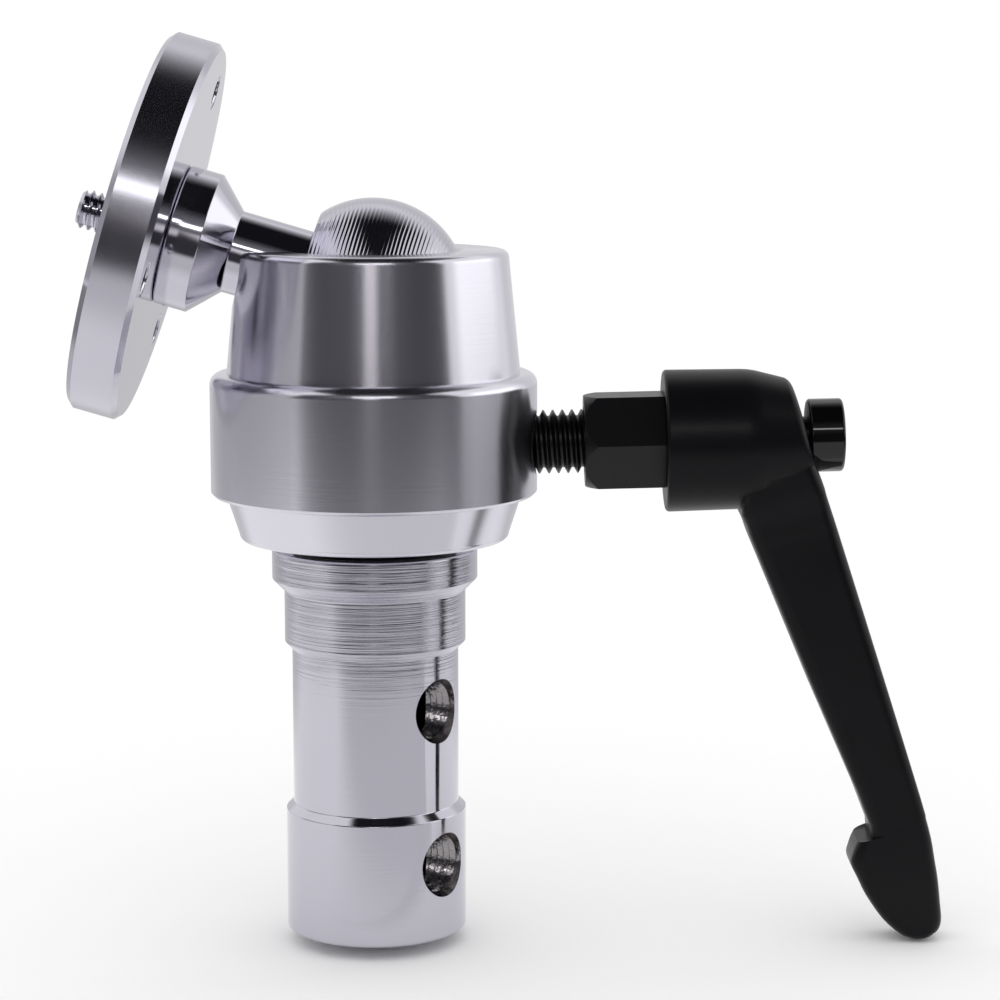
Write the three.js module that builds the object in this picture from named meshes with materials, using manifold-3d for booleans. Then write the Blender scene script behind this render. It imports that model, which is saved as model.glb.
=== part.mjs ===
// Gimbal bracket: a notched ball joint on a 1-1/8 in spigot, with a round camera plate on the
// ball's stem and a spring-loaded lever that clamps the ball through a cone and a plunger.
// Units are millimetres and +Z is up. The origin is the centre of the spigot's lower end,
// +X points from the ball towards the lever, and the notch for the stem is on the -X side.
import * as THREE from 'three';
import { mergeVertices } from 'three/addons/utils/BufferGeometryUtils.js';
import Module from 'manifold-3d';

const wasm = await Module();
wasm.setup();

// Clearance left where two pieces touch, that round a sliding piece, and how far a cutter runs
// past the face it opens.
const seatGap = 0.3;
const slideGap = 0.4;
const cutOverrun = 1;

// Spigot: two lands of the full pin size with a waist between them, under a chamfered flange.
const pinDiameter = 28.6;
const waistDiameter = 26.3;
const flangeDiameter = 32.4;
const lowerLandLength = 19.5;
const waistLength = 24.8;
const upperLandLength = 8.2;
const waistShoulderLength = 1.1;
const flangeThickness = 4.8;
const flangeRimChamfer = 0.3;
const pinEndChamfer = 0.4;
const socketDiameter = 16;
const socketDepth = 42;
const socketMouthChamfer = 0.8;
const lockHoleDiameter = 9;
const lockHoleMouthDiameter = 10.2;
const lockHoleAzimuth = THREE.MathUtils.degToRad(-38);
const lowestLockHoleHeight = 12;
const lockHoleSpacing = 24.5;
const lockHoleCount = 2;

// Screw that holds the spigot to the base cap, and the washer between them.
const pinScrewDiameter = 11.8;
const pinScrewReach = 14;
const pinScrewHeadDiameter = 18;
const pinScrewHeadHeight = 4.2;
const pinScrewKeySize = 8;
const pinScrewKeyDepth = 2.6;
const washerDiameter = 26;
const washerThickness = 0.9;

// Base cap: the lower cone, which closes the housing with a threaded ring on its top.
const capShoulder = 0.85;
const capTaper = 1.95;
const capHeight = 6.8;
const capFootRadius = 0.9;
const capFloorThickness = 3.5;
const capWellDiameter = 22;
const capRingWall = 4.5;
const capRingHeight = 2.6;
const capLedgeDepth = 1;

// Ball housing: a heavy ring with the lever's thread in it, and a tapered collar above.
const ringStep = 2.65;
const ringHeight = 19;
const ringEdgeRadius = 1.7;
const ringFootChamfer = 0.5;
const collarWall = 3.4;
const collarTaper = 1.75;
const collarEdgeRadius = 1.2;
const mouthChamfer = 0.5;
const leverAxisRise = 7.85;
const notchFloorDrop = 2.45;
const notchClearance = 0.35;

// Ball, its flat, the stem and the hub, which follow one another along the stem.
const ballDiameter = 29.5;
const ballSink = 6.7;
const ballFlatDiameter = 19.4;
const stemDiameter = 13;
const stemLength = 11.6;
const hubDiameter = 22.1;
const hubConeLength = 4.5;
const hubLength = 4.9;
const hubEdgeChamfer = 0.4;
const tailDiameter = 8;
const tailLength = 16.7;
const stemRestElevation = THREE.MathUtils.degToRad(16.3);

// Camera plate with its stud, its locking dowels and three through holes.
const plateDiameter = 60.4;
const plateThickness = 8;
const plateChamfer = 0.85;
const plateHoleDiameter = 5;
const plateHoleInset = 6.7;
const plateHoleCount = 3;
const plateHoleTurn = THREE.MathUtils.degToRad(16);
const studDiameter = 6.2;
const studProud = 6.9;
const studLength = 25.8;
const studTipChamfer = 0.7;
const dowelDiameter = 3;
const dowelLength = 7.4;
const dowelCircleDiameter = 14.6;
const dowelCount = 2;
const dowelDepthInPlate = 3.5;

// Liner above the ball, seat cup under it, disc spring and plunger.
const linerWall = 2.45;
const linerRise = 2.8;
const linerSeatSpace = 1.2;
const linerNotchDeepening = 0.6;
const seatHoleDiameter = 13;
const seatTopDrop = 8.1;
const seatUnderBall = 1.05;
const springHeight = 0.9;
const springSheet = 0.4;
const springOuterDiameter = 30;
const springInnerDiameter = 16;
const plungerHeight = 11.7;
const plungerDropSpace = 1.5;
const plungerEdgeChamfer = 0.5;

// Thrust cone that the lever's stud drives into the plunger's cross hole.
const thrustDiameter = 5;
const thrustPoint = 5.3;
const thrustTipDiameter = 1;
const thrustProud = 0.13;
const crossHoleDiameter = 9;
const crossHoleDrop = 0.5;

// Lever: stud, hexagon with a serrated barrel, handle, spring and retaining screw. They follow
// one another along the lever's axis, which leans up a little in the play of the stud's thread.
const leverLean = THREE.MathUtils.degToRad(1.4);
const clampStudDiameter = 10;
const clampStudChamfer = 0.8;
const clampStudShow = 7.4;
const hexAcrossFlats = 14.3;
const hexLength = 12.2;
const hexChamferLength = 2;
const studThreadDepth = 10.4;
const barrelLength = 8.5;
const toothCount = 20;
const toothRootDiameter = 12.2;
const toothTipDiameter = 14;
const toothEngagement = 4.3;
const handleHubDiameter = 22.3;
const handleHubChamfer = 0.6;
const handleHubStraight = 13.4;
const handleHubDraft = 0.15;
const handleHubSag = 0.3;
const handleHubTaperLength = 6.8;
const handleHubTaperDrop = 1.85;
const handleFaceReach = 22.1;
const handleFaceSlope = THREE.MathUtils.degToRad(13.3);
const handleShoulder = 2.6;
const handleReach = 81.3;
const handleSpread = 43;
const handleArmWidth = 12.4;
const handleEdgeRadius = 2.1;
const screwShankDiameter = 6;
const screwHeadDiameter = 11.5;
const screwHeadStand = 11.4;
const screwHeadLength = 5.5;
const screwHeadRadius = 0.5;
const screwShankReach = 21.3;
const screwKeySize = 5;
const screwKeyDepth = 3.4;
const springWire = 0.9;
const springMeanDiameter = 8.8;
const springTurns = 5;

// The arm's cross-sections from the hub to the tip. Each has its inner edge and its outer edge as
// shares of the handle's spread and reach, and last a share of the arm's width.
const armSectionShares = [
  [0.27, 0.03, 0.49, -0.02, 1.38], [0.27, 0.13, 0.561, 0.077, 1.27],
  [0.275, 0.149, 0.58, 0.11, 1.2], [0.289, 0.166, 0.594, 0.133, 1.14],
  [0.305, 0.192, 0.612, 0.163, 1.1], [0.348, 0.25, 0.641, 0.213, 1.04],
  [0.527, 0.492, 0.774, 0.447, 0.93], [0.734, 0.767, 0.925, 0.717, 0.83],
  [0.69, 0.798, 0.944, 0.757, 0.82], [0.669, 0.825, 0.963, 0.798, 0.81],
  [0.664, 0.844, 0.975, 0.838, 0.8], [0.689, 0.874, 0.987, 0.879, 0.79],
  [0.718, 0.907, 0.995, 0.925, 0.77], [0.777, 0.955, 1, 0.955, 0.75],
  [0.836, 0.986, 0.997, 0.974, 0.71], [0.866, 0.996, 0.987, 0.985, 0.66],
  [0.895, 1, 0.965, 0.994, 0.58], [0.912, 1.001, 0.945, 0.999, 0.46],
];

// Facets round a full turn on large and small pieces, and along a rounded edge.
const roundSides = 48;
const smallSides = 24;
const hexagonSides = 6;
const edgeSteps = 3;
const ballSteps = 12;

// Diameters that follow from the ball outwards.
const socketRadius = ballDiameter / 2 + seatGap;
const boreDiameter = 2 * (socketRadius + linerWall + seatGap);
const plungerDiameter = boreDiameter - 2 * slideGap;
const capRingDiameter = boreDiameter + 2 * capRingWall;
const capTopDiameter = capRingDiameter + 2 * capShoulder;
const capFootDiameter = capTopDiameter - 2 * capTaper;
const collarTopDiameter = boreDiameter + 2 * collarWall;
const collarFootDiameter = collarTopDiameter + 2 * collarTaper;
const ringDiameter = collarFootDiameter + 2 * ringStep;

// Heights of the stack, from the spigot's lower end upwards.
const waistBottom = lowerLandLength + waistShoulderLength;
const waistTop = waistBottom + waistLength;
const upperLandBottom = waistTop + waistShoulderLength;
const upperLandTop = upperLandBottom + upperLandLength;
const flangeBottom = upperLandTop + (flangeDiameter - pinDiameter) / 2;
const flangeTop = flangeBottom + flangeThickness;
const washerBottom = flangeTop + seatGap;
const capBottom = washerBottom + washerThickness + seatGap;
const capTop = capBottom + capHeight;
const ringBottom = capTop + seatGap;
const collarBottom = ringBottom + ringHeight;
const leverAxisHeight = ringBottom + leverAxisRise;
const pinHeadBottom = capBottom + capFloorThickness + seatGap;
const pinHeadTop = pinHeadBottom + pinScrewHeadHeight;
const plungerBottom = pinHeadTop + plungerDropSpace;
const plungerTop = plungerBottom + plungerHeight;
const springBottom = plungerTop + seatGap;
const seatBottom = springBottom + springHeight + seatGap;
const ballCentreHeight = seatBottom + seatUnderBall + ballDiameter / 2;
const seatTop = ballCentreHeight - seatTopDrop;
const linerBottom = seatTop + linerSeatSpace;
const linerTop = ballCentreHeight + linerRise;
const linerShoulder = linerTop + seatGap;
const notchFloor = ballCentreHeight - notchFloorDrop;
const collarTop = ballCentreHeight + ballSink;

// Places along the stem, from the ball's centre.
const ballFlatReach = Math.sqrt((ballDiameter / 2) ** 2 - (ballFlatDiameter / 2) ** 2);
const stemReach = ballFlatReach + stemLength;
const hubFoot = stemReach + hubConeLength;
const hubTop = hubFoot + hubLength;
const plateBack = hubTop + seatGap;
const plateFront = plateBack + plateThickness;
const studTip = plateFront + studProud;
const studHoleDiameter = studDiameter + 2 * seatGap;

// Places along the lever's axis, from the housing's axis.
const thrustEnd = boreDiameter / 2 + thrustProud;
const clampStudStart = thrustEnd + seatGap;
const hexStart = ringDiameter / 2 + clampStudShow;
const clampStudEnd = hexStart + studThreadDepth - seatGap;
const hexEnd = hexStart + hexLength;
const barrelEnd = hexEnd + barrelLength;
const handleStart = hexEnd + seatGap;
const handleTeethEnd = barrelEnd + seatGap;
const handleTeethStart = handleTeethEnd - toothEngagement;
const handleShoulderEnd = handleTeethEnd + handleShoulder;
const screwHeadStart = handleShoulderEnd + screwHeadStand;
const handleBoreDiameter = screwHeadDiameter + 2 * seatGap;

// Turns a geometry into a solid for joining and cutting.
function solidOf(geometry) {
  const bare = geometry.clone();
  bare.deleteAttribute('normal');
  bare.deleteAttribute('uv');
  const welded = mergeVertices(bare);
  const corners = welded.index.array;
  const triangles = [];
  for (let i = 0; i < corners.length; i += 3) {
    const [a, b, c] = corners.slice(i, i + 3);
    if (a !== b && b !== c && c !== a) triangles.push(a, b, c);
  }
  return new wasm.Manifold(new wasm.Mesh({
    numProp: 3,
    vertProperties: new Float32Array(welded.attributes.position.array),
    triVerts: new Uint32Array(triangles),
  }));
}

// Turns a solid back into a geometry for a mesh.
function geometryOf(solid) {
  const { vertProperties, triVerts } = solid.getMesh();
  const geometry = new THREE.BufferGeometry();
  geometry.setAttribute('position', new THREE.BufferAttribute(vertProperties, 3));
  geometry.setIndex(new THREE.BufferAttribute(triVerts, 1));
  geometry.computeVertexNormals();
  return geometry;
}

// Points on an arc of a turned outline, as [radius, height] pairs.
function arc(centreRadius, centreHeight, radius, fromAngle, toAngle, steps = edgeSteps) {
  return Array.from({ length: steps + 1 }, (_, i) => {
    const angle = fromAngle + (toAngle - fromAngle) * (i / steps);
    return [centreRadius + radius * Math.cos(angle), centreHeight + radius * Math.sin(angle)];
  });
}

// Turns an outline about +Z. It runs anticlockwise, with the radius to the right and the height
// up, and starts and ends on the axis or is a ring that this function closes.
function turned(outline, sides = smallSides) {
  const points = outline.map(([radius, height]) => new THREE.Vector2(Math.max(radius, 0), height));
  const onAxis = points[0].x === 0 && points[points.length - 1].x === 0;
  if (!onAxis) points.push(points[0].clone());
  return new THREE.LatheGeometry(points, sides).rotateX(Math.PI / 2);
}

// A plain round bar along +Z, used as a cutter.
function bar(diameter, start, end, sides = smallSides) {
  return turned([[0, start], [diameter / 2, start], [diameter / 2, end], [0, end]], sides);
}

// A round bar that is narrowed by a chamfer at both ends.
function chamferedBar(diameter, start, end, chamfer, sides = smallSides) {
  const radius = diameter / 2;
  return turned([[0, start], [radius - chamfer, start], [radius, start + chamfer],
    [radius, end - chamfer], [radius - chamfer, end], [0, end]], sides);
}

// A prism along +Z from a shape in X and Y.
function prism(shape, start, end) {
  return new THREE.ExtrudeGeometry(shape, { depth: end - start, bevelEnabled: false })
    .translate(0, 0, start);
}

// A hexagon with two of its corners on the Y axis.
function hexagon(acrossFlats) {
  const cornerRadius = acrossFlats / Math.sqrt(3);
  return new THREE.Shape(Array.from({ length: hexagonSides }, (_, i) => {
    const angle = ((2 * i + 1) * Math.PI) / hexagonSides;
    return new THREE.Vector2(cornerRadius * Math.cos(angle), cornerRadius * Math.sin(angle));
  }));
}

// A ring of pointed teeth, as the outline of a serrated barrel.
function serration(rootDiameter, tipDiameter) {
  return new THREE.Shape(Array.from({ length: toothCount * 2 }, (_, i) => {
    const angle = (i * Math.PI) / toothCount;
    const radius = (i % 2 ? tipDiameter : rootDiameter) / 2;
    return new THREE.Vector2(radius * Math.cos(angle), radius * Math.sin(angle));
  }));
}

// Lays a geometry that was made along +Z along the lever's axis instead.
function alongLever(geometry, drop = 0) {
  return geometry.rotateY(Math.PI / 2).translate(0, 0, leverAxisHeight - drop);
}

// The U-shaped slot that the stem drops into, open at the top.
function notchCutter(floorHeight) {
  const halfWidth = stemDiameter / 2 + notchClearance;
  const rise = floorHeight + halfWidth;
  const top = collarTop + cutOverrun;
  const slot = new THREE.Shape();
  slot.moveTo(-top, -halfWidth);
  slot.lineTo(-top, halfWidth);
  slot.lineTo(-rise, halfWidth);
  slot.absarc(-rise, 0, halfWidth, Math.PI / 2, -Math.PI / 2, true);
  const reach = ringDiameter / 2;
  return new THREE.ExtrudeGeometry(slot, { depth: reach, bevelEnabled: false, curveSegments: 16 })
    .rotateY(Math.PI / 2).translate(-reach, 0, 0);
}

// Spigot: the turned pin with its socket, its tapped top and the two lock holes.
function spigot() {
  const pinRadius = pinDiameter / 2;
  const waistRadius = waistDiameter / 2;
  const flangeRadius = flangeDiameter / 2;
  const holeRadius = socketDiameter / 2;
  const tapRadius = pinScrewDiameter / 2 + seatGap;
  const tapBottom = flangeTop - pinScrewReach - seatGap;
  const body = solidOf(turned([
    [0, socketDepth],
    [holeRadius, socketDepth - holeRadius / 4],
    [holeRadius, socketMouthChamfer],
    [holeRadius + socketMouthChamfer, 0],
    [pinRadius - pinEndChamfer, 0],
    [pinRadius, pinEndChamfer],
    [pinRadius, lowerLandLength],
    [waistRadius, waistBottom],
    [waistRadius, waistTop],
    [pinRadius, upperLandBottom],
    [pinRadius, upperLandTop],
    [flangeRadius, flangeBottom],
    [flangeRadius, flangeTop - flangeRimChamfer],
    [flangeRadius - flangeRimChamfer, flangeTop],
    [tapRadius, flangeTop],
    [tapRadius, tapBottom],
    [0, tapBottom],
  ], roundSides));
  let drilled = body;
  for (let i = 0; i < lockHoleCount; i += 1) {
    const height = lowestLockHoleHeight + i * lockHoleSpacing;
    const surface = (i ? waistDiameter : pinDiameter) / 2;
    const countersink = (lockHoleMouthDiameter - lockHoleDiameter) / 2;
    const hole = turned([
      [0, 0],
      [lockHoleDiameter / 2, 0],
      [lockHoleDiameter / 2, surface - countersink],
      [lockHoleMouthDiameter / 2, surface],
      [lockHoleMouthDiameter / 2, surface + cutOverrun],
      [0, surface + cutOverrun],
    ]);
    hole.rotateY(Math.PI / 2).rotateZ(lockHoleAzimuth).translate(0, 0, height);
    drilled = drilled.subtract(solidOf(hole));
  }
  return geometryOf(drilled);
}

// Screw from inside the base cap down into the spigot, with a hexagon key socket.
function spigotScrew() {
  const headRadius = pinScrewHeadDiameter / 2;
  const shankRadius = pinScrewDiameter / 2;
  const shankEnd = flangeTop - pinScrewReach;
  const body = solidOf(turned([
    [0, shankEnd],
    [shankRadius - pinEndChamfer, shankEnd],
    [shankRadius, shankEnd + pinEndChamfer],
    [shankRadius, pinHeadBottom],
    [headRadius, pinHeadBottom],
    [headRadius, pinHeadTop - pinEndChamfer],
    [headRadius - pinEndChamfer, pinHeadTop],
    [0, pinHeadTop],
  ]));
  const key = prism(hexagon(pinScrewKeySize), pinHeadTop - pinScrewKeyDepth, pinHeadTop + cutOverrun);
  return geometryOf(body.subtract(solidOf(key)));
}

// Washer that keeps the flange and the base cap a hair apart.
function spigotWasher() {
  const holeRadius = pinScrewDiameter / 2 + seatGap;
  return geometryOf(solidOf(turned([
    [holeRadius, washerBottom],
    [washerDiameter / 2, washerBottom],
    [washerDiameter / 2, washerBottom + washerThickness],
    [holeRadius, washerBottom + washerThickness],
  ])));
}

// Base cap: the lower cone, hollowed for the screw's head and the plunger's drop.
function baseCap() {
  const footRadius = capFootDiameter / 2;
  const holeRadius = pinScrewDiameter / 2 + seatGap;
  const floor = capBottom + capFloorThickness;
  const ledge = capTop + capLedgeDepth;
  const ringTop = capTop + capRingHeight;
  return geometryOf(solidOf(turned([
    [holeRadius, capBottom],
    ...arc(footRadius - capFootRadius, capBottom + capFootRadius, capFootRadius, -Math.PI / 2, 0),
    [capTopDiameter / 2, capTop],
    [capRingDiameter / 2, capTop],
    [capRingDiameter / 2, ringTop],
    [boreDiameter / 2, ringTop],
    [boreDiameter / 2, ledge],
    [capWellDiameter / 2, ledge],
    [capWellDiameter / 2, floor],
    [holeRadius, floor],
  ], roundSides)));
}

// Ball housing: ring and collar in one piece, with the spherical lip, the notch and the thread.
function ballHousing() {
  const ringRadius = ringDiameter / 2;
  const collarTopRadius = collarTopDiameter / 2;
  const counterbore = capRingDiameter / 2 + seatGap;
  const counterboreTop = capTop + capRingHeight + seatGap;
  const lipLow = Math.asin((linerShoulder - ballCentreHeight) / socketRadius);
  const lipHigh = Math.asin((ballSink - mouthChamfer) / socketRadius);
  const lip = arc(0, ballCentreHeight, socketRadius, lipHigh, lipLow);
  const body = solidOf(turned([
    [counterbore, ringBottom],
    [ringRadius - ringFootChamfer, ringBottom],
    [ringRadius, ringBottom + ringFootChamfer],
    ...arc(ringRadius - ringEdgeRadius, collarBottom - ringEdgeRadius, ringEdgeRadius, 0, Math.PI / 2),
    [collarFootDiameter / 2, collarBottom],
    ...arc(collarTopRadius - collarEdgeRadius, collarTop - collarEdgeRadius, collarEdgeRadius,
      0, Math.PI / 2),
    [lip[0][0] + mouthChamfer, collarTop],
    ...lip,
    [boreDiameter / 2, linerShoulder],
    [boreDiameter / 2, counterboreTop],
    [counterbore, counterboreTop],
  ], roundSides));
  const studHole = bar(clampStudDiameter + 2 * seatGap, boreDiameter / 4, ringRadius + cutOverrun);
  return geometryOf(body
    .subtract(solidOf(notchCutter(notchFloor)))
    .subtract(solidOf(alongLever(studHole))));
}

// Liner between the ball and the housing's lip, cut away where the stem drops in.
function upperLiner() {
  const outer = boreDiameter / 2 - seatGap;
  const topAngle = Math.asin((linerTop - ballCentreHeight) / socketRadius);
  const body = solidOf(turned([
    [socketRadius, linerBottom],
    [outer, linerBottom],
    [outer, linerTop],
    ...arc(0, ballCentreHeight, socketRadius, topAngle, 0),
  ], roundSides));
  const notch = notchCutter(notchFloor - linerNotchDeepening);
  return geometryOf(body.subtract(solidOf(notch)));
}

// Seat cup that the plunger presses up against the ball.
function ballSeat() {
  const outer = plungerDiameter / 2;
  const topAngle = Math.asin(-seatTopDrop / socketRadius);
  const holeAngle = -Math.acos(seatHoleDiameter / 2 / socketRadius);
  return geometryOf(solidOf(turned([
    [seatHoleDiameter / 2, seatBottom],
    [outer, seatBottom],
    [outer, seatTop],
    ...arc(0, ballCentreHeight, socketRadius, topAngle, holeAngle),
  ], roundSides)));
}

// Disc spring: a shallow cone of sheet under the seat cup.
function discSpring() {
  const rise = springHeight - springSheet;
  return geometryOf(solidOf(turned([
    [springInnerDiameter / 2, springBottom + rise],
    [springOuterDiameter / 2, springBottom],
    [springOuterDiameter / 2, springBottom + springSheet],
    [springInnerDiameter / 2, springBottom + springHeight],
  ])));
}

// Plunger with a cross hole that ends in a cone, a little lower than the lever's axis, so that
// the thrust cone lifts it.
function liftPlunger() {
  const body = solidOf(chamferedBar(plungerDiameter, plungerBottom, plungerTop,
    plungerEdgeChamfer, roundSides));
  const holeRadius = crossHoleDiameter / 2;
  const flankGap = seatGap * Math.SQRT2;
  const thrustApex = thrustPoint - thrustTipDiameter / 2;
  const holeApex = thrustApex - crossHoleDrop - flankGap;
  const hole = turned([
    [0, holeApex],
    [holeRadius, holeApex + holeRadius],
    [holeRadius, plungerDiameter],
    [0, plungerDiameter],
  ]);
  return geometryOf(body.subtract(solidOf(alongLever(hole, crossHoleDrop))));
}

// Ball, drilled from its flat for the stem's tail.
function clampBall() {
  const radius = ballDiameter / 2;
  const flatAngle = Math.asin(ballFlatReach / radius);
  const holeRadius = tailDiameter / 2 + seatGap;
  const holeEnd = ballFlatReach - tailLength;
  return geometryOf(solidOf(turned([
    ...arc(0, 0, radius, -Math.PI / 2, flatAngle, ballSteps),
    [holeRadius, ballFlatReach],
    [holeRadius, holeEnd],
    [0, holeEnd],
  ], roundSides)));
}

// Holes for the dowels, on a circle about the stem.
function dowelPlaces() {
  return Array.from({ length: dowelCount }, (_, i) => {
    const angle = Math.PI / 2 + (i * 2 * Math.PI) / dowelCount;
    const radius = dowelCircleDiameter / 2;
    return [radius * Math.cos(angle), radius * Math.sin(angle)];
  });
}

// Stem with its tail in the ball, the cone and the hub, tapped for the camera stud.
function ballStem() {
  const foot = ballFlatReach + seatGap;
  const tailEnd = ballFlatReach - tailLength + seatGap;
  const tapBottom = studTip - studLength - seatGap;
  let body = solidOf(turned([
    [0, tailEnd],
    [tailDiameter / 2, tailEnd],
    [tailDiameter / 2, foot],
    [stemDiameter / 2, foot],
    [stemDiameter / 2, stemReach],
    [hubDiameter / 2, hubFoot],
    [hubDiameter / 2, hubTop - hubEdgeChamfer],
    [hubDiameter / 2 - hubEdgeChamfer, hubTop],
    [studHoleDiameter / 2, hubTop],
    [studHoleDiameter / 2, tapBottom],
    [0, tapBottom],
  ], roundSides));
  const dowelHoleEnd = plateBack + dowelDepthInPlate - dowelLength - seatGap;
  for (const [x, y] of dowelPlaces()) {
    const hole = bar(dowelDiameter + 2 * seatGap, dowelHoleEnd, hubTop + cutOverrun).translate(x, y, 0);
    body = body.subtract(solidOf(hole));
  }
  return geometryOf(body);
}

// Camera plate: a chamfered disc with its screw holes and blind dowel holes.
function cameraPlate() {
  const rim = plateDiameter / 2;
  let body = solidOf(turned([
    [studHoleDiameter / 2, plateBack],
    [rim - plateChamfer, plateBack],
    [rim, plateBack + plateChamfer],
    [rim, plateFront - plateChamfer],
    [rim - plateChamfer, plateFront],
    [studHoleDiameter / 2, plateFront],
  ], roundSides));
  for (let i = 0; i < plateHoleCount; i += 1) {
    const angle = plateHoleTurn + (i * 2 * Math.PI) / plateHoleCount;
    const hole = bar(plateHoleDiameter, plateBack - cutOverrun, plateFront + cutOverrun)
      .translate(rim - plateHoleInset, 0, 0).rotateZ(angle);
    body = body.subtract(solidOf(hole));
  }
  const dowelHoleTop = plateBack + dowelDepthInPlate + seatGap;
  for (const [x, y] of dowelPlaces()) {
    const hole = bar(dowelDiameter + 2 * seatGap, plateBack - cutOverrun, dowelHoleTop);
    body = body.subtract(solidOf(hole.translate(x, y, 0)));
  }
  return geometryOf(body);
}

// Camera stud, which also draws the plate onto the hub.
function cameraStud() {
  return geometryOf(solidOf(chamferedBar(studDiameter, studTip - studLength, studTip, studTipChamfer)));
}

// One dowel that stops the plate from turning on the hub.
function plateDowel([x, y]) {
  const top = plateBack + dowelDepthInPlate;
  const pin = chamferedBar(dowelDiameter, top - dowelLength, top, dowelDiameter / 10);
  return geometryOf(solidOf(pin.translate(x, y, 0)));
}

// Thrust cone, pushed by the end of the stud and kept from turning by the plunger.
function thrustCone() {
  const radius = thrustDiameter / 2;
  const tipRadius = thrustTipDiameter / 2;
  return geometryOf(solidOf(turned([
    [0, thrustPoint],
    [tipRadius, thrustPoint],
    [radius, thrustPoint + radius - tipRadius],
    [radius, thrustEnd],
    [0, thrustEnd],
  ])));
}

// Threaded stud between the housing and the lever's hexagon.
function clampStud() {
  return geometryOf(solidOf(chamferedBar(clampStudDiameter, clampStudStart, clampStudEnd,
    clampStudChamfer)));
}

// Hexagon with a turned chamfer, and the serrated barrel that the handle slides on.
function hexInsert() {
  const flatRadius = hexAcrossFlats / 2;
  const chamferSlope = hexChamferLength / (hexAcrossFlats / Math.sqrt(3) - flatRadius);
  const envelopeRadius = hexAcrossFlats / Math.sqrt(3) + cutOverrun;
  const envelope = turned([
    [0, hexStart],
    [flatRadius, hexStart],
    [envelopeRadius, hexStart + chamferSlope * (envelopeRadius - flatRadius)],
    [envelopeRadius, hexEnd],
    [0, hexEnd],
  ], roundSides);
  const hexagonBar = prism(hexagon(hexAcrossFlats), hexStart - cutOverrun, hexEnd + cutOverrun);
  const barrel = prism(serration(toothRootDiameter, toothTipDiameter), hexEnd - cutOverrun, barrelEnd);
  const studHole = bar(clampStudDiameter + 2 * seatGap, hexStart - cutOverrun,
    hexStart + studThreadDepth);
  const screwHole = bar(screwShankDiameter + 2 * seatGap, hexStart, barrelEnd + cutOverrun);
  return geometryOf(solidOf(hexagonBar).intersect(solidOf(envelope)).add(solidOf(barrel))
    .subtract(solidOf(studHole)).subtract(solidOf(screwHole)));
}

// One cross-section of the arm: a rounded rectangle between its inner and outer edge.
function armSection([innerOut, innerDown, outerOut, outerDown, widthShare]) {
  const place = (out, down) => new THREE.Vector3(down * handleReach, 0,
    handleStart + out * handleSpread);
  const inner = place(innerOut, innerDown);
  const across = place(outerOut, outerDown).sub(inner);
  const depth = across.length();
  const halfWidth = (widthShare * handleArmWidth) / 2;
  const radius = Math.min(handleEdgeRadius, depth / 2, halfWidth);
  const corners = [[depth, 1, 0], [0, 1, 1], [0, -1, 2], [depth, -1, 3]];
  return corners.flatMap(([edge, side, quarter]) => (
    arc(edge + (edge ? -radius : radius), side * (halfWidth - radius), radius,
      (quarter * Math.PI) / 2, ((quarter + 1) * Math.PI) / 2)
  )).map(([out, wide]) => inner.clone().addScaledVector(across, out / depth).setY(wide));
}

// The arm: a skin over its cross-sections, closed at the root and at the tip.
function handleArm() {
  const sections = armSectionShares.map(armSection);
  const ring = sections[0].length;
  const triangles = [];
  for (let i = 0; i < sections.length - 1; i += 1) {
    for (let j = 0; j < ring; j += 1) {
      const a = i * ring + j;
      const b = i * ring + ((j + 1) % ring);
      triangles.push(a, a + ring, b, b, a + ring, b + ring);
    }
  }
  const last = (sections.length - 1) * ring;
  for (let j = 1; j < ring - 1; j += 1) triangles.push(0, j, j + 1, last, last + j + 1, last + j);
  const arm = new THREE.BufferGeometry().setFromPoints(sections.flat());
  arm.setIndex(triangles);
  return arm;
}

// Handle: hub and arm in one casting, bored for the barrel, the spring and the screw's head. Its
// hub hangs a little low, in the play of its teeth.
function leverHandle() {
  const hubRadius = handleHubDiameter / 2;
  const hubEnd = handleStart + handleHubStraight;
  const taperEnd = hubEnd + handleHubTaperLength;
  const endRadius = hubRadius - handleHubDraft;
  const faceRadius = endRadius - handleHubTaperDrop;
  const hub = solidOf(turned([
    [0, handleStart],
    [hubRadius - handleHubChamfer, handleStart],
    [hubRadius, handleStart + handleHubChamfer],
    [endRadius, hubEnd],
    [faceRadius, taperEnd],
    [faceRadius, taperEnd + hubRadius],
    [0, taperEnd + hubRadius],
  ], roundSides).translate(handleHubSag, 0, 0));
  const beyondFace = new THREE.BoxGeometry(4 * hubRadius, 4 * hubRadius, 2 * hubRadius)
    .translate(0, 0, hubRadius)
    .rotateY(-handleFaceSlope)
    .translate(0, 0, handleStart + handleFaceReach);
  const teeth = prism(serration(toothRootDiameter + 2 * seatGap, toothTipDiameter + 2 * seatGap),
    handleTeethStart - cutOverrun, handleTeethEnd);
  const mouth = bar(toothTipDiameter + 3 * seatGap, handleStart - cutOverrun, handleTeethStart);
  const screwHole = bar(screwShankDiameter + 2 * seatGap, handleStart, handleShoulderEnd + cutOverrun);
  const headBore = bar(handleBoreDiameter, handleShoulderEnd, screwHeadStart + screwHeadLength);
  return geometryOf(hub.subtract(solidOf(beyondFace)).add(solidOf(handleArm()))
    .subtract(solidOf(teeth)).subtract(solidOf(mouth))
    .subtract(solidOf(screwHole)).subtract(solidOf(headBore)));
}

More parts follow.
